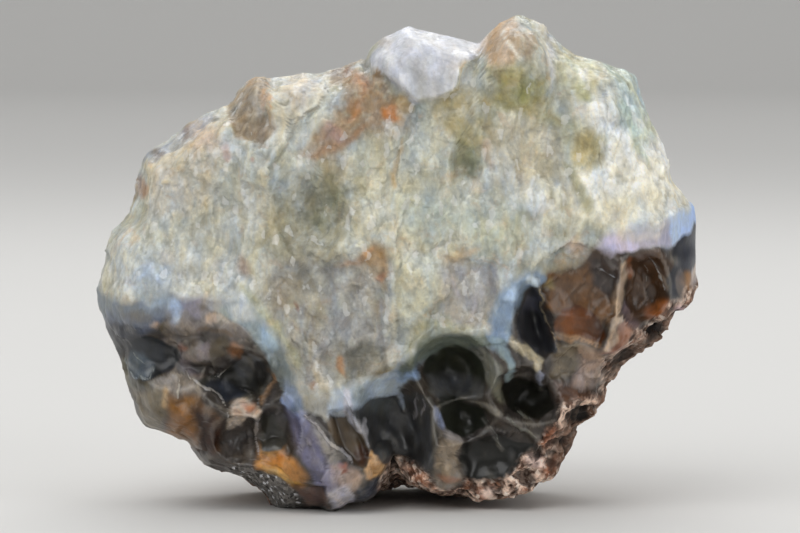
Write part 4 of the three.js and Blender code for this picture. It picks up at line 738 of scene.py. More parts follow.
quartzTouches = [
    # broad tints
    ((255, 255, 252), 1, 0, 6, [(37, 84), (50, 84), (62, 62), (44, 56), (33, 64)]),
    ((198, 197, 188), 0.6, 12, 12, [(-44, 58), (-30, 52)]),
    ((206, 190, 166), 0.55, 0, 6, [(-49, 70), (-36, 78), (-33, 70), (-38, 60), (-48, 60)]),
    # olive shadow of the left middle: painted shade over olive quartz
    ((152, 146, 122), 0.8, 0, 5, [(-26, 60), (-20, 66), (-11, 72), (-7, 66), (-9, 58), (-12, 50), (-22, 48),
        (-26, 54)]),
    # lower end of the olive shadow: painted shade over olive quartz
    ((138, 132, 110), 0.85, 3.4, 5, [(-21, 55), (-18, 49)]),
    ((204, 206, 202), 0.8, 3, 4, [(25, 55), (30, 53.4)]),
    ((192, 192, 176), 0.7, 0, 5, [(-9, 72), (0, 76), (8, 74), (11, 64), (4, 54), (-7, 54)]),
    ((184, 194, 186), 0.75, 0, 5, [(0, 63), (12, 62), (25, 60), (27, 54), (14, 54), (2, 56)]),
    ((186, 196, 208), 0.75, 4, 5, [(-57, 50), (-42, 46.4)]),
    ((196, 202, 206), 0.7, 2, 3, [(-30.6, 66), (-28, 60), (-27, 55)]),
    ((212, 208, 198), 0.8, 0, 3, [(-25, 86), (-12, 87), (-11, 82), (-17, 77), (-24, 76)]),
    ((150, 120, 88), 0.9, 0, 4.4, [(-11, 89), (-4, 88), (2, 82), (4, 77), (-3, 75), (-10, 74), (-18, 71),
        (-19, 75), (-11, 79)]),
    ((172, 158, 112), 0.85, 0, 3, [(9, 84), (14, 85), (19, 82), (19, 75), (13, 72), (9, 77)]),
    ((188, 184, 172), 0.75, 0, 3, [(18, 77), (26, 78), (33, 77), (33, 66), (27, 64), (19, 66)]),
    ((176, 170, 118), 0.6, 0, 4, [(20, 82), (32, 80), (42, 74), (40, 68), (34, 68), (32, 76)]),
    ((222, 218, 200), 0.8, 0, 4, [(39, 63), (54, 66), (58, 61), (50, 58), (40, 56)]),
    ((182, 182, 172), 0.6, 2, 2.4, [(29, 69), (34, 65), (38, 61)]),
    # upper left: brown wedge, glassy edge and amber stains
    ((188, 175, 170), 0.5, 3.5, 3, [(-21, 84), (-17, 84.6)]),
    ((156, 140, 128), 0.8, 1.8, 2.4, [(-13, 86.6), (-10, 86)]),
    ((148, 128, 106), 0.9, 0, 1.4, [(-33, 81.6), (-30, 87), (-26.5, 87), (-25.5, 85), (-26, 80.6),
        (-24, 76.6), (-27, 73), (-31.4, 75), (-34, 79.2)]),
    ((195, 165, 135), 0.6, 0.8, 1.2, [(-31, 84), (-29, 86.4)]),
    ((208, 155, 100), 0.7, 0.5, 0.8, [(-25.6, 85.6), (-25.4, 80)]),
    ((130, 110, 90), 0.6, 1.2, 1.6, [(-28, 78), (-26.6, 74.6)]),
    ((160, 162, 168), 0.8, 1.2, 1.0, [(-51, 68.6), (-46, 72), (-41, 75.6), (-36, 79)]),
    ((95, 72, 65), 0.8, 0.9, 0.9, [(-47.2, 71)]),
    ((85, 65, 58), 0.8, 0.8, 0.8, [(-42, 75.6)]),
    ((75, 78, 80), 0.8, 0.9, 1.0, [(-36.2, 78.6), (-35.6, 77.6)]),
    ((85, 90, 88), 0.7, 0.9, 1.0, [(-32, 80.2)]),
    ((165, 110, 55), 0.8, 1.2, 1.4, [(-50.8, 66), (-50.4, 62)]),
    ((110, 75, 40), 0.8, 0.6, 0.8, [(-52.6, 61), (-51.8, 63)]),
    ((208, 178, 158), 0.6, 3, 4, [(-41, 75), (-35, 73)]),
    ((200, 140, 130), 0.5, 0.6, 0.8, [(-33.4, 73), (-33, 70)]),
    ((205, 130, 110), 0.5, 0.5, 0.7, [(-28.6, 71.4), (-28.2, 70)]),
    ((198, 155, 125), 0.6, 1.4, 2.4, [(-30.4, 50.4), (-29.6, 47)]),
    ((195, 165, 125), 0.45, 1.2, 2.0, [(-46, 52), (-44, 50.4)]),
    ((178, 160, 120), 0.4, 0.8, 1.4, [(-38, 67), (-37.4, 60)]),
    # crease with a dark line of painted shadow under its edge, and the pale streak beside it
    ((202, 208, 206), 0.8, 1.5, 1.4, [(-11, 84), (-15, 80), (-17.5, 76), (-19, 73), (-24, 66)]),
    # painted shadow line under the overhanging edge of the crease
    ((120, 112, 100), 0.8, 0.3, 0.5, [(-13.5, 84.5), (-14.5, 81), (-17.8, 79), (-20, 76)]),
    # olive shadow of the left middle
    ((126, 122, 96), 0.8, 4, 5, [(-12, 67), (-18, 58)]),
    ((100, 108, 86), 0.6, 1.8, 3, [(-10.6, 65), (-15, 57)]),
    # rusty ground below the block
    ((150, 115, 95), 0.8, 1.4, 1.4, [(-8.6, 88), (-7, 84.6)]),
    ((140, 105, 60), 0.85, 1.3, 1.2, [(-4.8, 87), (-3.4, 86)]),
    ((160, 130, 70), 0.8, 1.4, 1.6, [(0.6, 82.2), (3.6, 81)]),
    ((200, 160, 150), 0.6, 2.2, 2.4, [(-13, 77), (-12.4, 72)]),
    ((160, 145, 115), 0.6, 3, 3, [(-14, 70), (-10, 71.4)]),
    ((188, 118, 56), 0.85, 1.6, 1.8, [(-1.8, 79.8), (0, 78.4)]),
    ((150, 118, 62), 0.8, 1.4, 1.4, [(1.2, 81), (3.6, 80.4)]),
    ((164, 116, 66), 0.7, 0.8, 1.6, [(-9, 82), (-7.6, 79)]),
    ((176, 126, 78), 0.75, 0.9, 1.4, [(-5.5, 76.4), (-9, 74.4), (-12, 73.4), (-17, 71)]),
    ((172, 116, 70), 0.6, 0.6, 1.2, [(-7.6, 86), (-7.2, 80), (-9.4, 78)]),
    ((206, 168, 104), 0.6, 0.6, 1.0, [(0.8, 74), (0.4, 70), (-0.4, 67), (-0.2, 64.6)]),
    # rust stain above the sunken ground
    ((166, 128, 80), 0.9, 0, 2.8, [(-12.5, 49.2), (-7.5, 51), (-5, 54), (-2.5, 53), (-1.5, 49), (-2, 45),
        (-4, 47), (-6, 49.5)]),
    ((176, 110, 62), 0.8, 0.8, 1.0, [(-3.2, 46.2), (-2.4, 48.4)]),
    ((205, 140, 80), 0.6, 0.5, 0.8, [(-10.8, 49.6), (-7, 50.8), (-5, 53)]),
    ((205, 168, 118), 0.6, 0.8, 1.4, [(9, 51.6), (11, 50.8), (14, 51.6), (16.4, 52.4)]),
    # pale block
    ((198, 200, 210), 0.95, 0, 1.0, [(-5.9, 89), (-2.6, 94.8), (2.4, 98), (17.4, 94), (17, 90), (13, 88),
        (12, 84), (8.6, 82.6), (4, 81.6), (-0.4, 85.6)]),
    ((150, 140, 130), 0.6, 1.2, 1.6, [(-3.6, 92.4), (-1.8, 93.4)]),
    ((235, 235, 238), 0.9, 0.35, 0.5, [(12.8, 88), (12.4, 86), (11.8, 83.8)]),
    # dome
    ((205, 165, 125), 0.8, 0, 2.0, [(16.6, 92), (20, 98), (23, 99), (25, 94), (23, 89), (19, 87)]),
    ((168, 150, 130), 0.9, 2.4, 3, [(24.4, 95), (26, 91)]),
    ((150, 145, 92), 0.9, 0, 3.0, [(18, 88), (24, 89.6), (29, 87), (29.6, 82), (25, 78.4), (20, 81)]),
    ((140, 138, 75), 0.7, 2, 2.6, [(24.6, 84.6), (25.6, 81)]),
    ((215, 212, 208), 0.8, 0.8, 1.2, [(28, 97.4), (30, 93.4), (31, 89), (30.4, 85)]),
    ((236, 228, 216), 0.95, 0.4, 0.4, [(21, 95), (22.6, 92.6), (24.4, 90)]),
    # right shoulder
    ((195, 195, 160), 0.7, 4, 4, [(34, 90), (38, 84)]),
    ((170, 168, 115), 0.8, 1.4, 1.6, [(36, 83.6), (38, 82.4)]),
    ((240, 240, 235), 0.9, 1.2, 0.8, [(36, 87.6), (38, 86)]),
    ((185, 202, 196), 0.8, 0, 3, [(41.6, 89), (50, 89), (53, 78), (50, 72), (44, 77)]),
    ((246, 248, 240), 0.9, 0.9, 0.9, [(41.6, 84.6), (43.2, 79.4)]),
    ((160, 178, 160), 0.6, 0.6, 1.0, [(44.4, 82), (47.6, 74), (50, 68)]),
    ((250, 250, 246), 0.85, 1.2, 1.6, [(42, 78), (45, 73), (49, 66)]),
    ((244, 244, 236), 0.8, 1, 1.6, [(50.5, 72), (54, 64)]),
    # olive spots, knob and bright lobe
    ((128, 128, 92), 0.8, 3.2, 4, [(13.4, 74), (15, 67.4)]),
    ((94, 98, 74), 0.65, 1.8, 3.4, [(13.4, 70.4), (14.8, 67)]),
    ((196, 156, 116), 0.5, 0.6, 1.2, [(18, 74.6), (17.6, 70), (18.4, 68)]),
    ((228, 226, 220), 0.8, 1.2, 1.4, [(28.6, 75), (30.6, 73.8)]),
    ((176, 160, 106), 0.8, 3.2, 4, [(35.6, 74), (41, 69.6)]),
    ((140, 138, 104), 0.7, 1.0, 1.6, [(32.6, 70), (36, 65), (38.4, 60.6)]),
    ((150, 148, 115), 0.6, 1.0, 1.6, [(34, 69), (38, 62)]),
    ((216, 222, 226), 0.9, 0, 1.4, [(25, 61), (25.2, 65.4), (27, 67.8), (29.4, 67), (32.6, 64.8),
        (33.2, 62.4), (31, 59.4), (29.4, 60.8), (27.4, 58.8)]),
    ((122, 124, 110), 0.8, 0.5, 1.0, [(30.2, 64), (31.2, 61.2)]),
    ((208, 208, 192), 0.85, 0, 1.6, [(-1, 46), (2, 51), (8, 51.6), (9.6, 46), (7, 41), (3, 38.4),
        (-0.6, 40)]),
    ((172, 168, 170), 0.85, 0, 2.0, [(9, 50.6), (19, 49.6), (20.4, 44), (18.6, 38.4), (12, 37.8), (9, 40)]),
    ((200, 195, 205), 0.7, 0.5, 0.8, [(11, 48), (12.6, 43)]),
    ((205, 200, 208), 0.7, 0.6, 0.8, [(16, 43), (15, 39.6)]),
    # sunken grainy ground
    ((152, 146, 142), 0.8, 0, 6, [(-24, 48), (-12, 51), (-4, 49), (-1.4, 43), (0, 38), (-1, 33), (-9, 27),
        (-17, 25), (-22, 35), (-27, 43)]),
    ((94, 90, 78), 0.85, 0, 2, [(-11, 32), (-7, 34), (-1, 33.6), (-1, 29), (-5, 27.8), (-10.6, 26.6)]),
    ((130, 128, 122), 0.85, 3, 4, [(-19, 46), (-13, 47)]),
    ((212, 200, 180), 0.85, 1.2, 1.2, [(-15, 30), (-14.6, 27), (-13.4, 24.6)]),
    ((165, 110, 55), 0.85, 0.8, 0.9, [(-10.8, 31.4), (-10.6, 28)]),
    ((165, 110, 60), 0.8, 0.5, 0.7, [(-16.2, 27), (-16, 25.6)]),
    ((120, 65, 50), 0.8, 0.4, 0.5, [(-20, 41.6), (-19.6, 41)]),
    # yellowish seam along the band
    ((178, 176, 130), 0.5, 1.0, 1.6, [(-31, 45), (-27, 42), (-24, 38), (-21, 34), (-19, 30)]),
    ((150, 150, 112), 0.5, 0.9, 1.4, [(2, 33), (5, 36.6), (9, 38), (15, 38)]),
    ((205, 165, 135), 0.6, 1.4, 2.0, [(33, 53), (37, 52)]),
]

rindTouches = [
    ((84, 62, 48), 0.75, 0, 3.0, [(62, 46), (54, 40), (42, 30), (39, 22), (32, 20), (29, 8), (34, 6),
        (48, 20), (62, 36)]),
    ((45, 36, 30), 0.9, 0, 1.0, [(48.6, 34), (51, 37.4), (54.6, 37.6), (53, 35)]),
    ((52, 40, 32), 0.9, 1.1, 1.0, [(43.4, 29), (46.6, 31.4)]),
    ((40, 34, 28), 0.95, 1.3, 1.2, [(34.4, 18.4), (38.6, 19.4)]),
    ((215, 185, 165), 0.9, 0.6, 0.8, [(32.4, 17), (33, 20), (35.6, 21.4), (38.6, 22.4), (40, 21.6)]),
    ((150, 88, 56), 0.6, 1.0, 1.6, [(30.8, 16.4), (30, 12.6)]),
    ((150, 90, 58), 0.5, 1.2, 2, [(31.4, 10), (29, 7)]),
    ((215, 190, 180), 0.7, 1.1, 1.4, [(26.8, 9.4), (28.4, 11)]),
    ((222, 196, 182), 0.8, 1.1, 1.4, [(17, 3.6), (21, 3.2)]),
    ((158, 98, 62), 0.6, 0.8, 1.6, [(13, 5), (15.4, 4.4)]),
    ((190, 165, 170), 0.8, 1.3, 1.4, [(55.6, 40), (57, 40)]),
    ((142, 94, 68), 0.6, 0.9, 1.6, [(2, 8), (5.4, 7)]),
]


def toLinear(rgb):
    return np.array([(v / 255 / 12.92) if v <= 10 else ((v / 255 + 0.055) / 1.055) ** 2.4 for v in rgb])


def touchDepth(touch):
    # distance inside a touch: a filled outline where its half width is 0, else a brush stroke
    width, line = touch[2], touch[4]
    return depthInside(paintX, paintZ, line) if width == 0 else taperedLine(paintX, paintZ, line, width)


def deepest(touches):
    # distance inside the nearest of the touches, on the face only
    depth = np.max([touchDepth(touch) for touch in touches], axis=0)
    return mix(-stoneEdges["fieldReach"], depth, onFace)


def paintTouches(touches, fade=1.0, patches=0.0, ground=None, grown=0.0):
    # lays the touches over each other: colour and cover at every point
    colour = np.zeros((len(paintX), 3)) if ground is None else ground
    cover = np.zeros(len(paintX)) if ground is None else np.ones(len(paintX))
    speckle = patches * cloud(design, *stoneEdges["patches"])
    for touch in touches:
        rgb, strength, soft = touch[0], touch[1], touch[3]
        fresh = strength * smooth(0.5 + (touchDepth(touch) + grown) / soft) * fade
        fresh = fresh * np.clip(1 + speckle * min(soft / 4, 1), 0, 1)     # soft touches are patchy
        total = fresh + cover * (1 - fresh)
        share = (fresh / np.maximum(total, 1e-6))[:, None]
        colour = mix(colour, toLinear(rgb), share)
        cover = total
    return np.column_stack([colour, cover])


onFace = 1 - smooth(np.clip(travel, 0, 1) / stoneEdges["rimFade"])
bandX, bandWidth, bandColour = (np.array(column, float) for column in zip(*bandCourse))
bandColour = np.array([toLinear(rgb) for rgb in bandColour])
bandHere = np.stack([np.interp(paintX, bandX, bandColour[:, part]) for part in range(3)], axis=1)
bandInside = np.interp(paintX, bandX, bandWidth) + quartzDepth
bandShare = smooth(0.5 + bandInside / stoneEdges["bandBlend"])[:, None]
isLine = [0 < touch[2] <= stoneEdges["thinLine"] for touch in glassTouches]
lineTouches = [touch for touch, thin in zip(glassTouches, isLine) if thin]
groundTouches = [touch for touch, thin in zip(glassTouches, isLine) if not thin]
glassGround = mix(toLinear(stoneEdges["glassGround"]), bandHere, bandShare)
paints = {   # colour and cover of each kind of touch
    "glass": paintTouches(groundTouches, onFace, 0.2, glassGround),
    "pane": paintTouches(paneTouches, 1, 0, toLinear(stoneEdges["paneGround"]), 0.5),
    "band": paintTouches(bandTouches, onFace, 0, bandHere, 0.6),
    "line": paintTouches(lineTouches, 1, 0, toLinear(stoneEdges["lineGround"]), 0.8),
    "quartz": paintTouches(quartzTouches, onFace, 0.7),
    "rind": paintTouches(rindTouches, onFace, 0.8),
}
paneDepth = deepest(paneTouches)
bandDepth = np.maximum(bandInside, deepest(bandTouches))
bandDepth *= np.interp(paintX, *stoneEdges["bandBlur"])      # its edge is blurred at the left
druse = smooth(0.5 + depthInside(paintX, paintZ, druseOutline) / stoneEdges["druseBlend"])

print("stone: relief")
stoneRelief = {   # size of the forms, number of their pattern, and their lean or height
    "shards": (9.0, 21, 0.05),       # the quartz's larger faces
    "flakes": (5.0, 31, 0.08),
    "crystals": (1.8, 61, 0.10),
    "quartzCloud": (4.2, 3, 0.30),
    "quartzCrests": (2.4, 5, 0.20),
    "chips": (5.5, 41, 0.08),        # breaks of the chalcedony, none in its dark bowls
    "splinters": (2.2, 51, 0.05),
    "ripples": (2.6, 7, 0.03),
    "rindKnobs": (3.2, 11, 0.7),
    "rindGrit": (1.2, 13, 0.3),
    "rindHoles": (2.8, 15, 1.3),
    "blockShare": 0.35,              # of the quartz's relief, on its smooth pale block
    "skinPatches": (15, 81, 1.5),
    "skinCalm": 0.7,                 # less relief where a pale skin covers the back's crust
    "flakeSlant": [[1, 0, 0.35], [0, 1, 0], [-0.35, 0, 0.62]],   # the flakes lie steeply
}


def makeRelief(points):
    # how far each point is pushed out, and where the holes, the pale block and the skin are
    slanted = points @ np.array(stoneRelief["flakeSlant"])
    quartz = facets(slanted, *stoneRelief["shards"], jump=0.05)
    quartz += facets(slanted, *stoneRelief["flakes"])
    quartz += facets(points, *stoneRelief["crystals"])
    quartz += patterned(slanted, stoneRelief["quartzCloud"])
    quartz -= abs(patterned(slanted, stoneRelief["quartzCrests"]))
    block = smooth(0.5 + depthInside(paintX, paintZ, plates[0][2]) / 2)
    quartz *= mix(1, stoneRelief["blockShare"], block)
    broken = smooth(0.3 - paneDepth)
    glass = facets(points, *stoneRelief["chips"]) * broken
    glass += facets(points, *stoneRelief["splinters"]) * broken
    glass += patterned(points, stoneRelief["ripples"])
    size, pattern, depth = stoneRelief["rindHoles"]
    holes = smooth((cloud(points, size, pattern) - 0.25) / 0.45)
    rind = patterned(points, stoneRelief["rindKnobs"])
    rind += patterned(points, stoneRelief["rindGrit"], 2)
    rind -= depth * holes
    skin = smooth(0.5 + patterned(points, stoneRelief["skinPatches"], 2))
    skin *= smooth((points[:, 1] + 6) / 12)      # only behind the middle plane
    rind *= 1 - stoneRelief["skinCalm"] * skin
    return mix(mix(glass, quartz, quartzShare), rind, rindShare), holes, block, skin


def fitToBox(points, low, high):
    size = points.max(axis=0) - points.min(axis=0)
    return low + (points - points.min(axis=0)) * (high - low) / size


def addMesh(name, points, faces):
    mesh = bpy.data.meshes.new(name)
    mesh.from_pydata(points, [], faces)
    mesh.polygons.foreach_set("use_smooth", [True] * len(mesh.polygons))
    made = bpy.data.objects.new(name, mesh)
    bpy.context.scene.collection.objects.link(made)
    return made


points = calmPoints(design, stoneFaces, 0.4)
relief, holes, block, skin = makeRelief(points)
points = points + pointNormals(points, stoneFaces) * relief[:, None]
points[:, 2] = np.maximum(points[:, 2], 0)
low, high = (np.array(corner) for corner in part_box("agate"))
agateStone = addMesh("agateStone", fitToBox(points * mm, low, high), stoneFaces)
mesh = agateStone.data
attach(agateStone, "root")
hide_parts("agate")
print("stone: %d triangles" % len(stoneFaces))

# edges: paler where they stand out, partly worn and partly painted highlight; painted shade in the creases
# and in the crust's holes
print("stone: wear of the edges")
stoneWearAndPaintedLight = {   # patterns are size, number and strength
    "wornAndLitEdgePatches": (3.4, 71, 0.8),
    "broadTone": (4, 73, 0.12),      # lighter and darker chalcedony
    "fineTone": (1.4, 75, 0.07),
    "washPatches": (1.8, 77, 1.0),
    "sharp": 0.07,                   # millimetres that a fully sharp edge stands out
    "wornAndLitEdge": (190, 186, 180),       # colour of edges that stand out, partly worn chips and partly painted highlight, and its share
    "wornAndLitEdgeShare": 0.16,
    "creaseShade": 0.3,              # painted shade: how much darker the sharp creases are
    "washShare": 0.18,               # of paler, greyer patches
    "washTint": (1.16, 1.08, 1.0),
    # painted shade in the crust's holes: its colour and share
    "holeShadeColour": (48, 36, 30),
    "holeShadeShare": 0.92,
}
normal = pointNormals(points, stoneFaces)
flat = calmPoints(calmPoints(points, stoneFaces), stoneFaces)
bulge = np.clip(((points - flat) * normal).sum(axis=1) / stoneWearAndPaintedLight["sharp"], -1, 1)
patchy = smooth(0.5 + patterned(points, stoneWearAndPaintedLight["wornAndLitEdgePatches"], 2))
# paler edges where the stone stands out: partly worn chips, partly painted highlight
edgeShare = (stoneWearAndPaintedLight["wornAndLitEdgeShare"] * smooth(bulge) * patchy)[:, None]
# tone: lighter and darker at random, with painted shade in the sharp creases
tone = patterned(points, stoneWearAndPaintedLight["broadTone"], 2) + patterned(points, stoneWearAndPaintedLight["fineTone"], 2)
tone = (np.exp(tone) * (1 - stoneWearAndPaintedLight["creaseShade"] * smooth(-bulge)))[:, None]
washed = smooth(0.4 + patterned(points, stoneWearAndPaintedLight["washPatches"], 2))
washed = (stoneWearAndPaintedLight["washShare"] * washed)[:, None]
for paint in (paints["glass"], paints["pane"]):
    grey = paint[:, :3].mean(axis=1, keepdims=True)
    paint[:, :3] = mix(paint[:, :3], grey * np.array(stoneWearAndPaintedLight["washTint"]), washed) * tone
    paint[:, :3] = mix(paint[:, :3], toLinear(stoneWearAndPaintedLight["wornAndLitEdge"]), edgeShare)
# painted shade in the crust's holes, less under the pale skin
holeShadeShare = (stoneWearAndPaintedLight["holeShadeShare"] * holes * (1 - 0.8 * skin))[:, None]
rindPaint = paints["rind"]
rindPaint[:, :3] = mix(rindPaint[:, :3], toLinear(stoneWearAndPaintedLight["holeShadeColour"]), holeShadeShare)
rindPaint[:, 3] = mix(rindPaint[:, 3], 1, holeShadeShare[:, 0])

reach = stoneEdges["fieldReach"]
depths = {   # distances inside each ground, in millimetres
    "quartz": quartzDepth, "rind": rindDepth, "pane": paneDepth, "band": bandDepth,
    "line": deepest(lineTouches) - stoneEdges["lineTrim"],
}
# edgeField runs from creases at 0 to edges at 1; the finish paints shade and light with it
shares = {"druse": druse, "edge": (1 + bulge) / 2, "block": block, "skin": skin}
for name, values in paints.items():
    paint = mesh.attributes.new(name + "Paint", "FLOAT_COLOR", "POINT")
    paint.data.foreach_set("color", values.astype(np.float32).ravel())
for name, depth in depths.items():
    shares[name] = 0.5 + np.clip(depth / (2 * reach), -0.5, 0.5)     # 0.5 on the edge
for name, share in shares.items():
    field = mesh.attributes.new(name + "Field", "FLOAT", "POINT")
    field.data.foreach_set("value", share.astype(np.float32))

print("stone: finish")
stoneLook = {
    "quartzGrey": (156, 160, 150),
    "quartzCream": (209, 203, 186),
    "quartzMilk": (224, 231, 234),
    "quartzOlive": (146, 146, 112),
    "quartzAmber": (196, 150, 104),
    "quartzRoughness": 0.34,
    "glassRoughness": (0.28, 0.46),   # of the darkest and the palest chalcedony
    "rindBrown": (98, 72, 58),
    "rindPink": (212, 186, 168),
    "rindRust": (138, 86, 56),
    "skinGrey": (120, 110, 98),
    "skinBeige": (164, 148, 128),
    "rindRoughness": 0.85,
    "tints": ((1.5, 0.45), (5.0, 1.3)),      # size and strength of the warm and cool clouds
    "coolTint": (0.92, 0.99, 1.12, 1),
    "warmTint": (1.08, 1.01, 0.85, 1),
    "clearness": 0.25,                # share of the light that goes under the surface
    "clearDepth": 2.0,                # and how deep, in millimetres
    "quartzSteepness": 0.5,           # of clouds and grains, in the direction of growth
    "grainSteepness": 0.6,
}
brokenEdges = {   # size and reach of the waver where two grounds meet, and how sharp that is
    "quartz": (2.4, 0.2, 3.0),
    "rind": (2.0, 0.3, 5.0),
    "pane": (1.4, 0.10, 12.0),
    "band": (2.0, 0.16, 7.0),
    "line": (0.9, 0.08, 30.0),
}


def feed(tree, socket, value):
    # an input gets a value, or a link from another node's output
    if isinstance(value, bpy.types.NodeSocket):
        tree.links.new(value, socket)
    else:
        socket.default_value = value


def put(tree, kind, inputs=None, **settings):
    node = tree.nodes.new(kind)
    for name, value in settings.items():
        setattr(node, name, value)
    for name, value in (inputs or {}).items():
        feed(tree, node.inputs[name], value)
    return node


def calculate(tree, operation, *values):
    return put(tree, "ShaderNodeMath", dict(enumerate(values)), operation=operation).outputs[0]


def scaled(tree, value, share, start=0.0):
    return calculate(tree, "MULTIPLY_ADD", value, share, start)


def centred(tree, value):
    return calculate(tree, "SUBTRACT", value, 0.5)


def clamped(tree, value):
    return put(tree, "ShaderNodeClamp", {"Value": value}).outputs[0]


def vector(tree, operation, a, b):
    return put(tree, "ShaderNodeVectorMath", {0: a, 1: b}, operation=operation).outputs


def blend(tree, share, a, b, mode="MIX"):
    inputs = {0: share, 6: a, 7: b}      # the colour sockets of a Mix node
    return put(tree, "ShaderNodeMix", inputs, data_type="RGBA", blend_type=mode).outputs[2]


def blendValue(tree, share, a, b):
    return put(tree, "ShaderNodeMix", {0: share, 2: a, 3: b}).outputs[0]


def lay(tree, under, over, mask, share):
    # lays a colour over another where the mask is high
    return blend(tree, scaled(tree, mask, share), under, over)


def darken(tree, colour, value, share=1.0, start=0.0):
    level = scaled(tree, value, share, start)
    grey = put(tree, "ShaderNodeCombineColor", {0: level, 1: level, 2: level}).outputs[0]
    return blend(tree, 1.0, colour, grey, "MULTIPLY")


def look(name):
    return (*toLinear(stoneLook[name]), 1)


def newGroup(name, inputs, outputs):
    # a node group of plain values that reads a pattern at a place
    group = bpy.data.node_groups.new(name, "ShaderNodeTree")
    group.interface.new_socket("Place", in_out="INPUT", socket_type="NodeSocketVector")
    for socket, value in inputs.items():
        made = group.interface.new_socket(socket, in_out="INPUT", socket_type="NodeSocketFloat")
        made.default_value = value
    for socket in outputs:
        group.interface.new_socket(socket, in_out="OUTPUT", socket_type="NodeSocketFloat")
    start, end = group.nodes.new("NodeGroupInput"), group.nodes.new("NodeGroupOutput")
    return group, start.outputs, end.inputs


def texture(group, kind, given, **inputs):
    # a noise or cell texture whose scale comes from its pattern's size in millimetres
    scale = calculate(group, "DIVIDE", 1 / mm, given["Size"])
    return put(group, kind, {"Vector": given["Place"], "Scale": scale, **inputs}).outputs


def makeBrokenEdge():
    # a distance cut off at its edge, which wavers by a noise
    group, given, result = newGroup(
        "brokenEdge", {"Field": 0.5, "Size": 2.0, "Wander": 0.1, "Sharpness": 6.0}, ["Mask"])
    noise = texture(group, "ShaderNodeTexNoise", given, Detail=3.0)
    moved = scaled(group, centred(group, noise["Fac"]), given["Wander"], centred(group, given["Field"]))
    mask = clamped(group, scaled(group, moved, given["Sharpness"], 0.5))
    group.links.new(mask, result["Mask"])
    return group


def makeStoneClouds():
    group, given, result = newGroup(
        "stoneClouds", {"Size": 8.0, "Contrast": 2.0, "Balance": 0.5, "Curl": 0.4}, ["Value"])
    noise = texture(group, "ShaderNodeTexNoise", given, Detail=4.0, Roughness=0.6,
                    Distortion=given["Curl"])
    value = calculate(group, "SUBTRACT", noise["Fac"], given["Balance"])
    value = clamped(group, scaled(group, value, given["Contrast"], 0.5))
    group.links.new(value, result["Value"])
    return group


def makeCrystalGrain():
    # every grain is a flat face that leans its own way
    group, given, result = newGroup(
        "crystalGrain", {"Size": 1.0, "Depth": 0.1, "Flecks": 0.07}, ["Shade", "Relief", "Fleck"])
    cells = texture(group, "ShaderNodeTexVoronoi", given)
    cellValue = put(group, "ShaderNodeSeparateColor", {"Color": cells["Color"]}).outputs
    arm = vector(group, "SUBTRACT", given["Place"], cells["Position"])[0]
    lean = vector(group, "SUBTRACT", cells["Color"], (0.5, 0.5, 0.5))[0]
    lift = calculate(group, "MULTIPLY", vector(group, "DOT_PRODUCT", arm, lean)[1], 1 / mm)
    group.links.new(cellValue[0], result["Shade"])
    group.links.new(calculate(group, "MULTIPLY", lift, given["Depth"]), result["Relief"])
    group.links.new(calculate(group, "LESS_THAN", cellValue[2], given["Flecks"]), result["Fleck"])
    return group


def makeShellBreaks():
    # shell-shaped breaks: each a shallow bowl with rings in it
    group, given, result = newGroup(
        "shellBreaks", {"Size": 6.0, "Depth": 0.2, "Rings": 9.0}, ["Shade", "Relief"])
    cells = texture(group, "ShaderNodeTexVoronoi", given)
    shade = put(group, "ShaderNodeSeparateColor", {"Color": cells["Color"]}).outputs[0]
    turns = calculate(group, "MULTIPLY", cells["Distance"], given["Rings"])
    rings = calculate(group, "SINE", calculate(group, "MULTIPLY", turns, 2 * math.pi))
    bowl = calculate(group, "MULTIPLY", cells["Distance"], cells["Distance"])
    relief = scaled(group, rings, 0.02, scaled(group, bowl, 1.6))
    group.links.new(shade, result["Shade"])
    group.links.new(calculate(group, "MULTIPLY", relief, given["Depth"]), result["Relief"])
    return group


brokenEdge, stoneClouds = makeBrokenEdge(), makeStoneClouds()
crystalGrain, shellBreaks = makeCrystalGrain(), makeShellBreaks()


def useGroup(tree, group, place, **values):
    inputs = {"Place": place, **values}
    node = put(tree, "ShaderNodeGroup", node_tree=group)
    for name, value in inputs.items():
        feed(tree, node.inputs[name], value)
    return node.outputs


def clouds(tree, place, size, contrast, balance=0.5, curl=0.4):
    return useGroup(tree, stoneClouds, place, Size=size, Contrast=contrast, Balance=balance,
                    Curl=curl)["Value"]


def attribute(tree, name):
    return put(tree, "ShaderNodeAttribute", attribute_name=name).outputs


def edgeMask(tree, place, name):
    size, wander, sharpness = brokenEdges[name]
    field = attribute(tree, name + "Field")["Fac"]
    return useGroup(tree, brokenEdge, place, Field=field, Size=size, Wander=wander,
                    Sharpness=sharpness)["Mask"]


def stretch(tree, place, share):
    # patterns that stand steeply, as the crystals grew
    inputs = {"Vector": place, "Rotation": (0, 0.3, 0), "Scale": (1, 1, share)}
    return put(tree, "ShaderNodeMapping", inputs).outputs[0]


def findPlaces(tree):
    # where patterns are read: as it is, stretched, and bent by a noise of up to a millimetre
    place = put(tree, "ShaderNodeTexCoord").outputs["Object"]
    noise = put(tree, "ShaderNodeTexNoise", {"Vector": place, "Scale": 700.0, "Detail": 2.0})
    shift = vector(tree, "MULTIPLY", noise.outputs["Color"], (mm, mm, mm))[0]
    return place, stretch(tree, place, stoneLook["quartzSteepness"]), vector(tree, "ADD", place, shift)[0]


def makeTint(tree, grown):
    # warm and cool clouds that run through the whole stone
    tints = []
    for size, strength in stoneLook["tints"]:
        swing = centred(tree, clouds(tree, grown, size, 2.4, curl=0.8))
        swing = scaled(tree, swing, strength, 0.5)
        tints.append(blend(tree, swing, stoneLook["coolTint"], stoneLook["warmTint"]))
    return blend(tree, 1.0, tints[0], tints[1], "MULTIPLY")


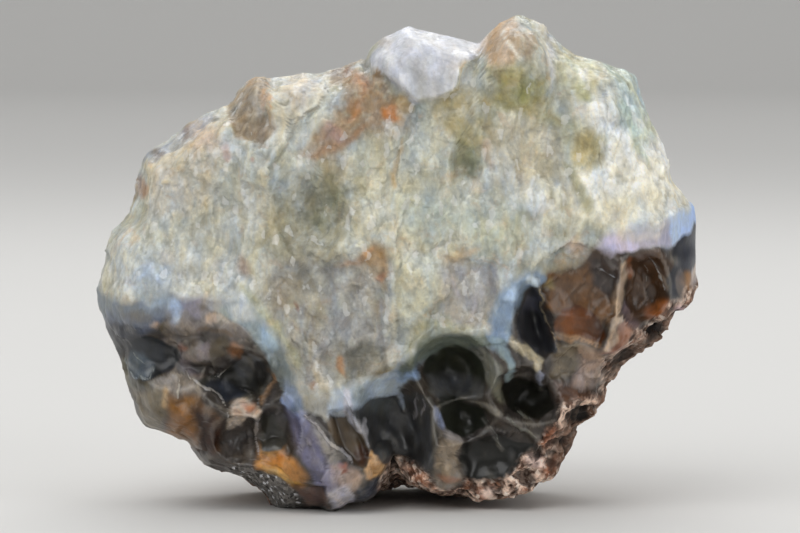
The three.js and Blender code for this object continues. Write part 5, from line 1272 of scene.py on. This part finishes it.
def finishQuartz(tree, places, tint, edge):
    # cloudy quartz: cream and grey, milky and olive clouds in it, every grain its own shade
    place, grown, bent = places
    calm = scaled(tree, attribute(tree, "blockField")["Fac"], -0.6, 1.0)      # on the pale block
    milk = clouds(tree, grown, 3.2, 2.6)
    colour = blend(tree, clouds(tree, grown, 9.0, 3.2), look("quartzGrey"), look("quartzCream"))
    colour = lay(tree, colour, look("quartzMilk"), milk, 0.5)
    colour = lay(tree, colour, look("quartzOlive"), clouds(tree, place, 5.4, 3.6, 0.56), 0.35)
    colour = lay(tree, colour, look("quartzAmber"), clouds(tree, bent, 4.4, 6.0, 0.62, 1.0), 0.35)
    seams = centred(tree, clouds(tree, grown, 5.0, 1.0, curl=1.6))
    seams = clamped(tree, scaled(tree, calculate(tree, "ABSOLUTE", seams), -60.0, 1.0))
    colour = lay(tree, colour, (0.78, 0.8, 0.78, 1), seams, 0.15)             # thin pale seams
    stain = attribute(tree, "quartzPaint")
    stainShare = calculate(tree, "MULTIPLY", stain["Alpha"], scaled(tree, milk, -0.3, 1.0))
    colour = blend(tree, stainShare, colour, stain["Color"])
    colour = blend(tree, calm, colour, tint, "MULTIPLY")
    colour = darken(tree, colour, clouds(tree, grown, 3.4, 2.4, curl=0.6), 0.46, 0.81)
    steep = stretch(tree, bent, stoneLook["grainSteepness"])
    grain = useGroup(tree, crystalGrain, steep, Size=1.2, Depth=0.36, Flecks=0.06)
    fineGrain = useGroup(tree, crystalGrain, place, Size=0.55, Depth=0.26, Flecks=0.06)
    level = scaled(tree, fineGrain["Shade"], 0.12, scaled(tree, grain["Shade"], 0.14, 0.86))
    # painted shade in the quartz's creases and painted light on its edges
    level = calculate(tree, "MULTIPLY", level, scaled(tree, edge, 0.2, 0.9))
    colour = darken(tree, colour, level)
    # white flecks: painted glints of the grains' faces
    colour = lay(tree, colour, (0.9, 0.9, 0.88, 1), grain["Fleck"], 0.32)
    rough = scaled(tree, grain["Fleck"], -0.16, stoneLook["quartzRoughness"])
    height = calculate(tree, "ADD", grain["Relief"], fineGrain["Relief"])
    return colour, rough, calculate(tree, "MULTIPLY", height, calm)


def finishChalcedony(tree, places, tint):
    # the soft ground, sharp broken faces, the band and fine pale lines over it
    place, grown, bent = places
    breaks = useGroup(tree, shellBreaks, bent, Size=5.0, Depth=0.05, Rings=5.0)
    pane, band, line = (edgeMask(tree, place, name) for name in ("pane", "band", "line"))
    glassPaint, panePaint, bandPaint, linePaint = (
        attribute(tree, name + "Paint")["Color"] for name in ("glass", "pane", "band", "line"))
    paint = darken(tree, blend(tree, pane, glassPaint, panePaint), breaks["Shade"], 0.16, 0.92)
    paint = blend(tree, band, paint, bandPaint)
    paint = lay(tree, paint, linePaint, line, 0.7)
    wisps = clouds(tree, grown, 1.1, 2.2, curl=1.2)
    colour = darken(tree, paint, wisps, 0.34, 0.83)
    colour = blend(tree, 0.8, colour, tint, "MULTIPLY")
    # sugary small crystals at the foot of the left lobe
    druse = attribute(tree, "druseField")["Fac"]
    sugar = useGroup(tree, crystalGrain, place, Size=0.7, Depth=1.2, Flecks=0.08)
    sugarColour = blend(tree, sugar["Shade"], (0.04, 0.036, 0.032, 1), (0.3, 0.28, 0.26, 1))
    sugarColour = blend(tree, sugar["Fleck"], sugarColour, (0.7, 0.7, 0.72, 1))
    colour = blend(tree, druse, colour, sugarColour)
    darkest, palest = stoneLook["glassRoughness"]
    paleness = put(tree, "ShaderNodeRGBToBW", {0: paint}).outputs[0]
    rough = scaled(tree, paleness, (palest - darkest) * 2, darkest)
    height = scaled(tree, wisps, 0.02, calculate(tree, "MULTIPLY", sugar["Relief"], druse))
    height = calculate(tree, "ADD", height, breaks["Relief"])
    return colour, rough, scaled(tree, line, 0.08, height)


def finishCrust(tree, places, tint, edge):
    # brown and pink crust with rust, its holes darkened by painted shade, a pale skin over parts of the
    # back
    place, bent = places[0], places[2]
    knobs = clouds(tree, place, 2.0, 6.0)
    colour = blend(tree, knobs, look("rindBrown"), look("rindPink"))
    colour = lay(tree, colour, look("rindRust"), clouds(tree, bent, 4.0, 7.0, 0.58), 0.7)
    grit = useGroup(tree, crystalGrain, bent, Size=0.8, Depth=0.7, Flecks=0.12)
    colour = darken(tree, colour, grit["Shade"], 0.6, 0.6)
    colour = lay(tree, colour, (0.7, 0.6, 0.52, 1), grit["Fleck"], 0.6)
    paint = attribute(tree, "rindPaint")
    # painted shade in the crust's hollows and painted light on its knobs
    colour = darken(tree, blend(tree, paint["Alpha"], colour, paint["Color"]), edge, 1.1, 0.4)
    skin = blend(tree, knobs, look("skinGrey"), look("skinBeige"))
    skin = blend(tree, 1.0, skin, tint, "MULTIPLY")
    colour = lay(tree, colour, skin, attribute(tree, "skinField")["Fac"], 0.75)
    colour = darken(tree, colour, clouds(tree, bent, 11.0, 4.0, curl=0.8), 0.5, 0.72)   # broad gloom
    return colour, stoneLook["rindRoughness"], grit["Relief"]


def newMaterial(name):
    material = bpy.data.materials.new(name)
    material.use_nodes = True
    return material, material.node_tree, material.node_tree.nodes["Principled BSDF"]


def makeAgateFinish():
    material, tree, surface = newMaterial("agateStoneFinish")
    places = findPlaces(tree)
    tint, edge = makeTint(tree, places[1]), attribute(tree, "edgeField")["Fac"]
    quartz, glass = finishQuartz(tree, places, tint, edge), finishChalcedony(tree, places, tint)
    crust = finishCrust(tree, places, tint, edge)
    quartzMask, rindMask = (edgeMask(tree, places[0], name) for name in ("quartz", "rind"))
    colour = blend(tree, rindMask, blend(tree, quartzMask, glass[0], quartz[0]), crust[0])
    rough = blendValue(tree, rindMask, blendValue(tree, quartzMask, glass[1], quartz[1]), crust[1])
    height = blendValue(tree, rindMask, blendValue(tree, quartzMask, glass[2], quartz[2]), crust[2])
    bump = put(tree, "ShaderNodeBump", {"Height": height, "Distance": mm, "Strength": 1.0})
    tree.links.new(colour, surface.inputs["Base Color"])
    tree.links.new(rough, surface.inputs["Roughness"])
    tree.links.new(bump.outputs[0], surface.inputs["Normal"])
    surface.inputs["Subsurface Weight"].default_value = stoneLook["clearness"]
    surface.inputs["Subsurface Radius"].default_value = (1.0, 0.9, 0.75)
    surface.inputs["Subsurface Scale"].default_value = stoneLook["clearDepth"] * mm
    return material


mesh.materials.append(makeAgateFinish())

print("studio: floor, lights and camera")
studio = {
    "floorColour": (0.66, 0.655, 0.64),
    "frameWidth": 160.0,           # millimetres across the picture, at the stone's front
    "lens": 180.0,
    "elevation": 4.0,              # degrees above level
    "aim": (0.55, -14.0, 48.3),    # what the camera looks at
    "worldLight": 0.25,
    "paper": (3.4, 3.2, -4.0, 1.2, 4.0),   # half width, flat depth, front edge, bend and top, in metres
    "lights": {                    # place, size, power and what it points at, in metres and watts
        "ceilingSoftbox": ((0, 0.8, 3.2), (5.0, 5.0), 84.0, (0, 0.8, 0)),
        "keySoftbox": ((-0.55, -0.75, 0.95), (1.1, 1.1), 7.5, (0, -0.01, 0.048)),
        "fillSoftbox": ((0.85, -0.7, 0.35), (0.6, 0.8), 3.0, (0, -0.01, 0.048)),
        "backSoftbox": ((0.1, 0.7, 0.9), (0.9, 0.5), 3.0, (0, -0.01, 0.048)),
    },
}


def addSweep():
    # pale paper that runs under the stone and curves up behind it
    width, depth, front, bend, top = studio["paper"]
    steps = [i * math.pi / 2 / 16 for i in range(17)]
    profile = [(front, 0)] + [(depth + bend * math.sin(t), bend * (1 - math.cos(t))) for t in steps]
    profile.append((depth + bend, top))
    corners = [(side * width, y, z) for y, z in profile for side in (-1, 1)]
    faces = [(2 * i, 2 * i + 1, 2 * i + 3, 2 * i + 2) for i in range(len(profile) - 1)]
    paperSweep = addMesh("paperSweep", corners, faces)
    paper, tree, finish = newMaterial("palePaper")
    finish.inputs["Base Color"].default_value = (*studio["floorColour"], 1)
    finish.inputs["Roughness"].default_value = 0.9
    finish.inputs["Specular IOR Level"].default_value = 0.2
    paperSweep.data.materials.append(paper)


def addLight(name, place, size, power, aim):
    light = bpy.data.lights.new(name, "AREA")
    light.shape = "RECTANGLE"
    light.size, light.size_y = size
    light.energy = power
    lamp = bpy.data.objects.new(name, light)
    lamp.location = place
    lamp.rotation_euler = (Vector(aim) - Vector(place)).to_track_quat("-Z", "Y").to_euler()
    bpy.context.scene.collection.objects.link(lamp)


def addCamera():
    camera = bpy.data.objects.new("camera", bpy.data.cameras.new("camera"))
    camera.data.lens = studio["lens"]
    camera.data.sensor_width = 36.0
    distance = studio["frameWidth"] * mm * studio["lens"] / camera.data.sensor_width
    tilt = math.radians(studio["elevation"])
    aim = Vector(studio["aim"]) * mm
    camera.location = aim + Vector((0, -math.cos(tilt), math.sin(tilt))) * distance
    camera.rotation_euler = (aim - camera.location).to_track_quat("-Z", "Y").to_euler()
    camera.data.clip_start = 0.01
    camera.data.clip_end = 50.0
    bpy.context.scene.collection.objects.link(camera)
    bpy.context.scene.camera = camera


addSweep()
for name, setup in studio["lights"].items():
    addLight(name, *setup)
addCamera()

world = bpy.data.worlds.new("studioAir")
world.use_nodes = True
world.node_tree.nodes["Background"].inputs["Color"].default_value = (1, 1, 1, 1)
world.node_tree.nodes["Background"].inputs["Strength"].default_value = studio["worldLight"]
bpy.context.scene.world = world
bpy.context.scene.view_settings.view_transform = "Standard"
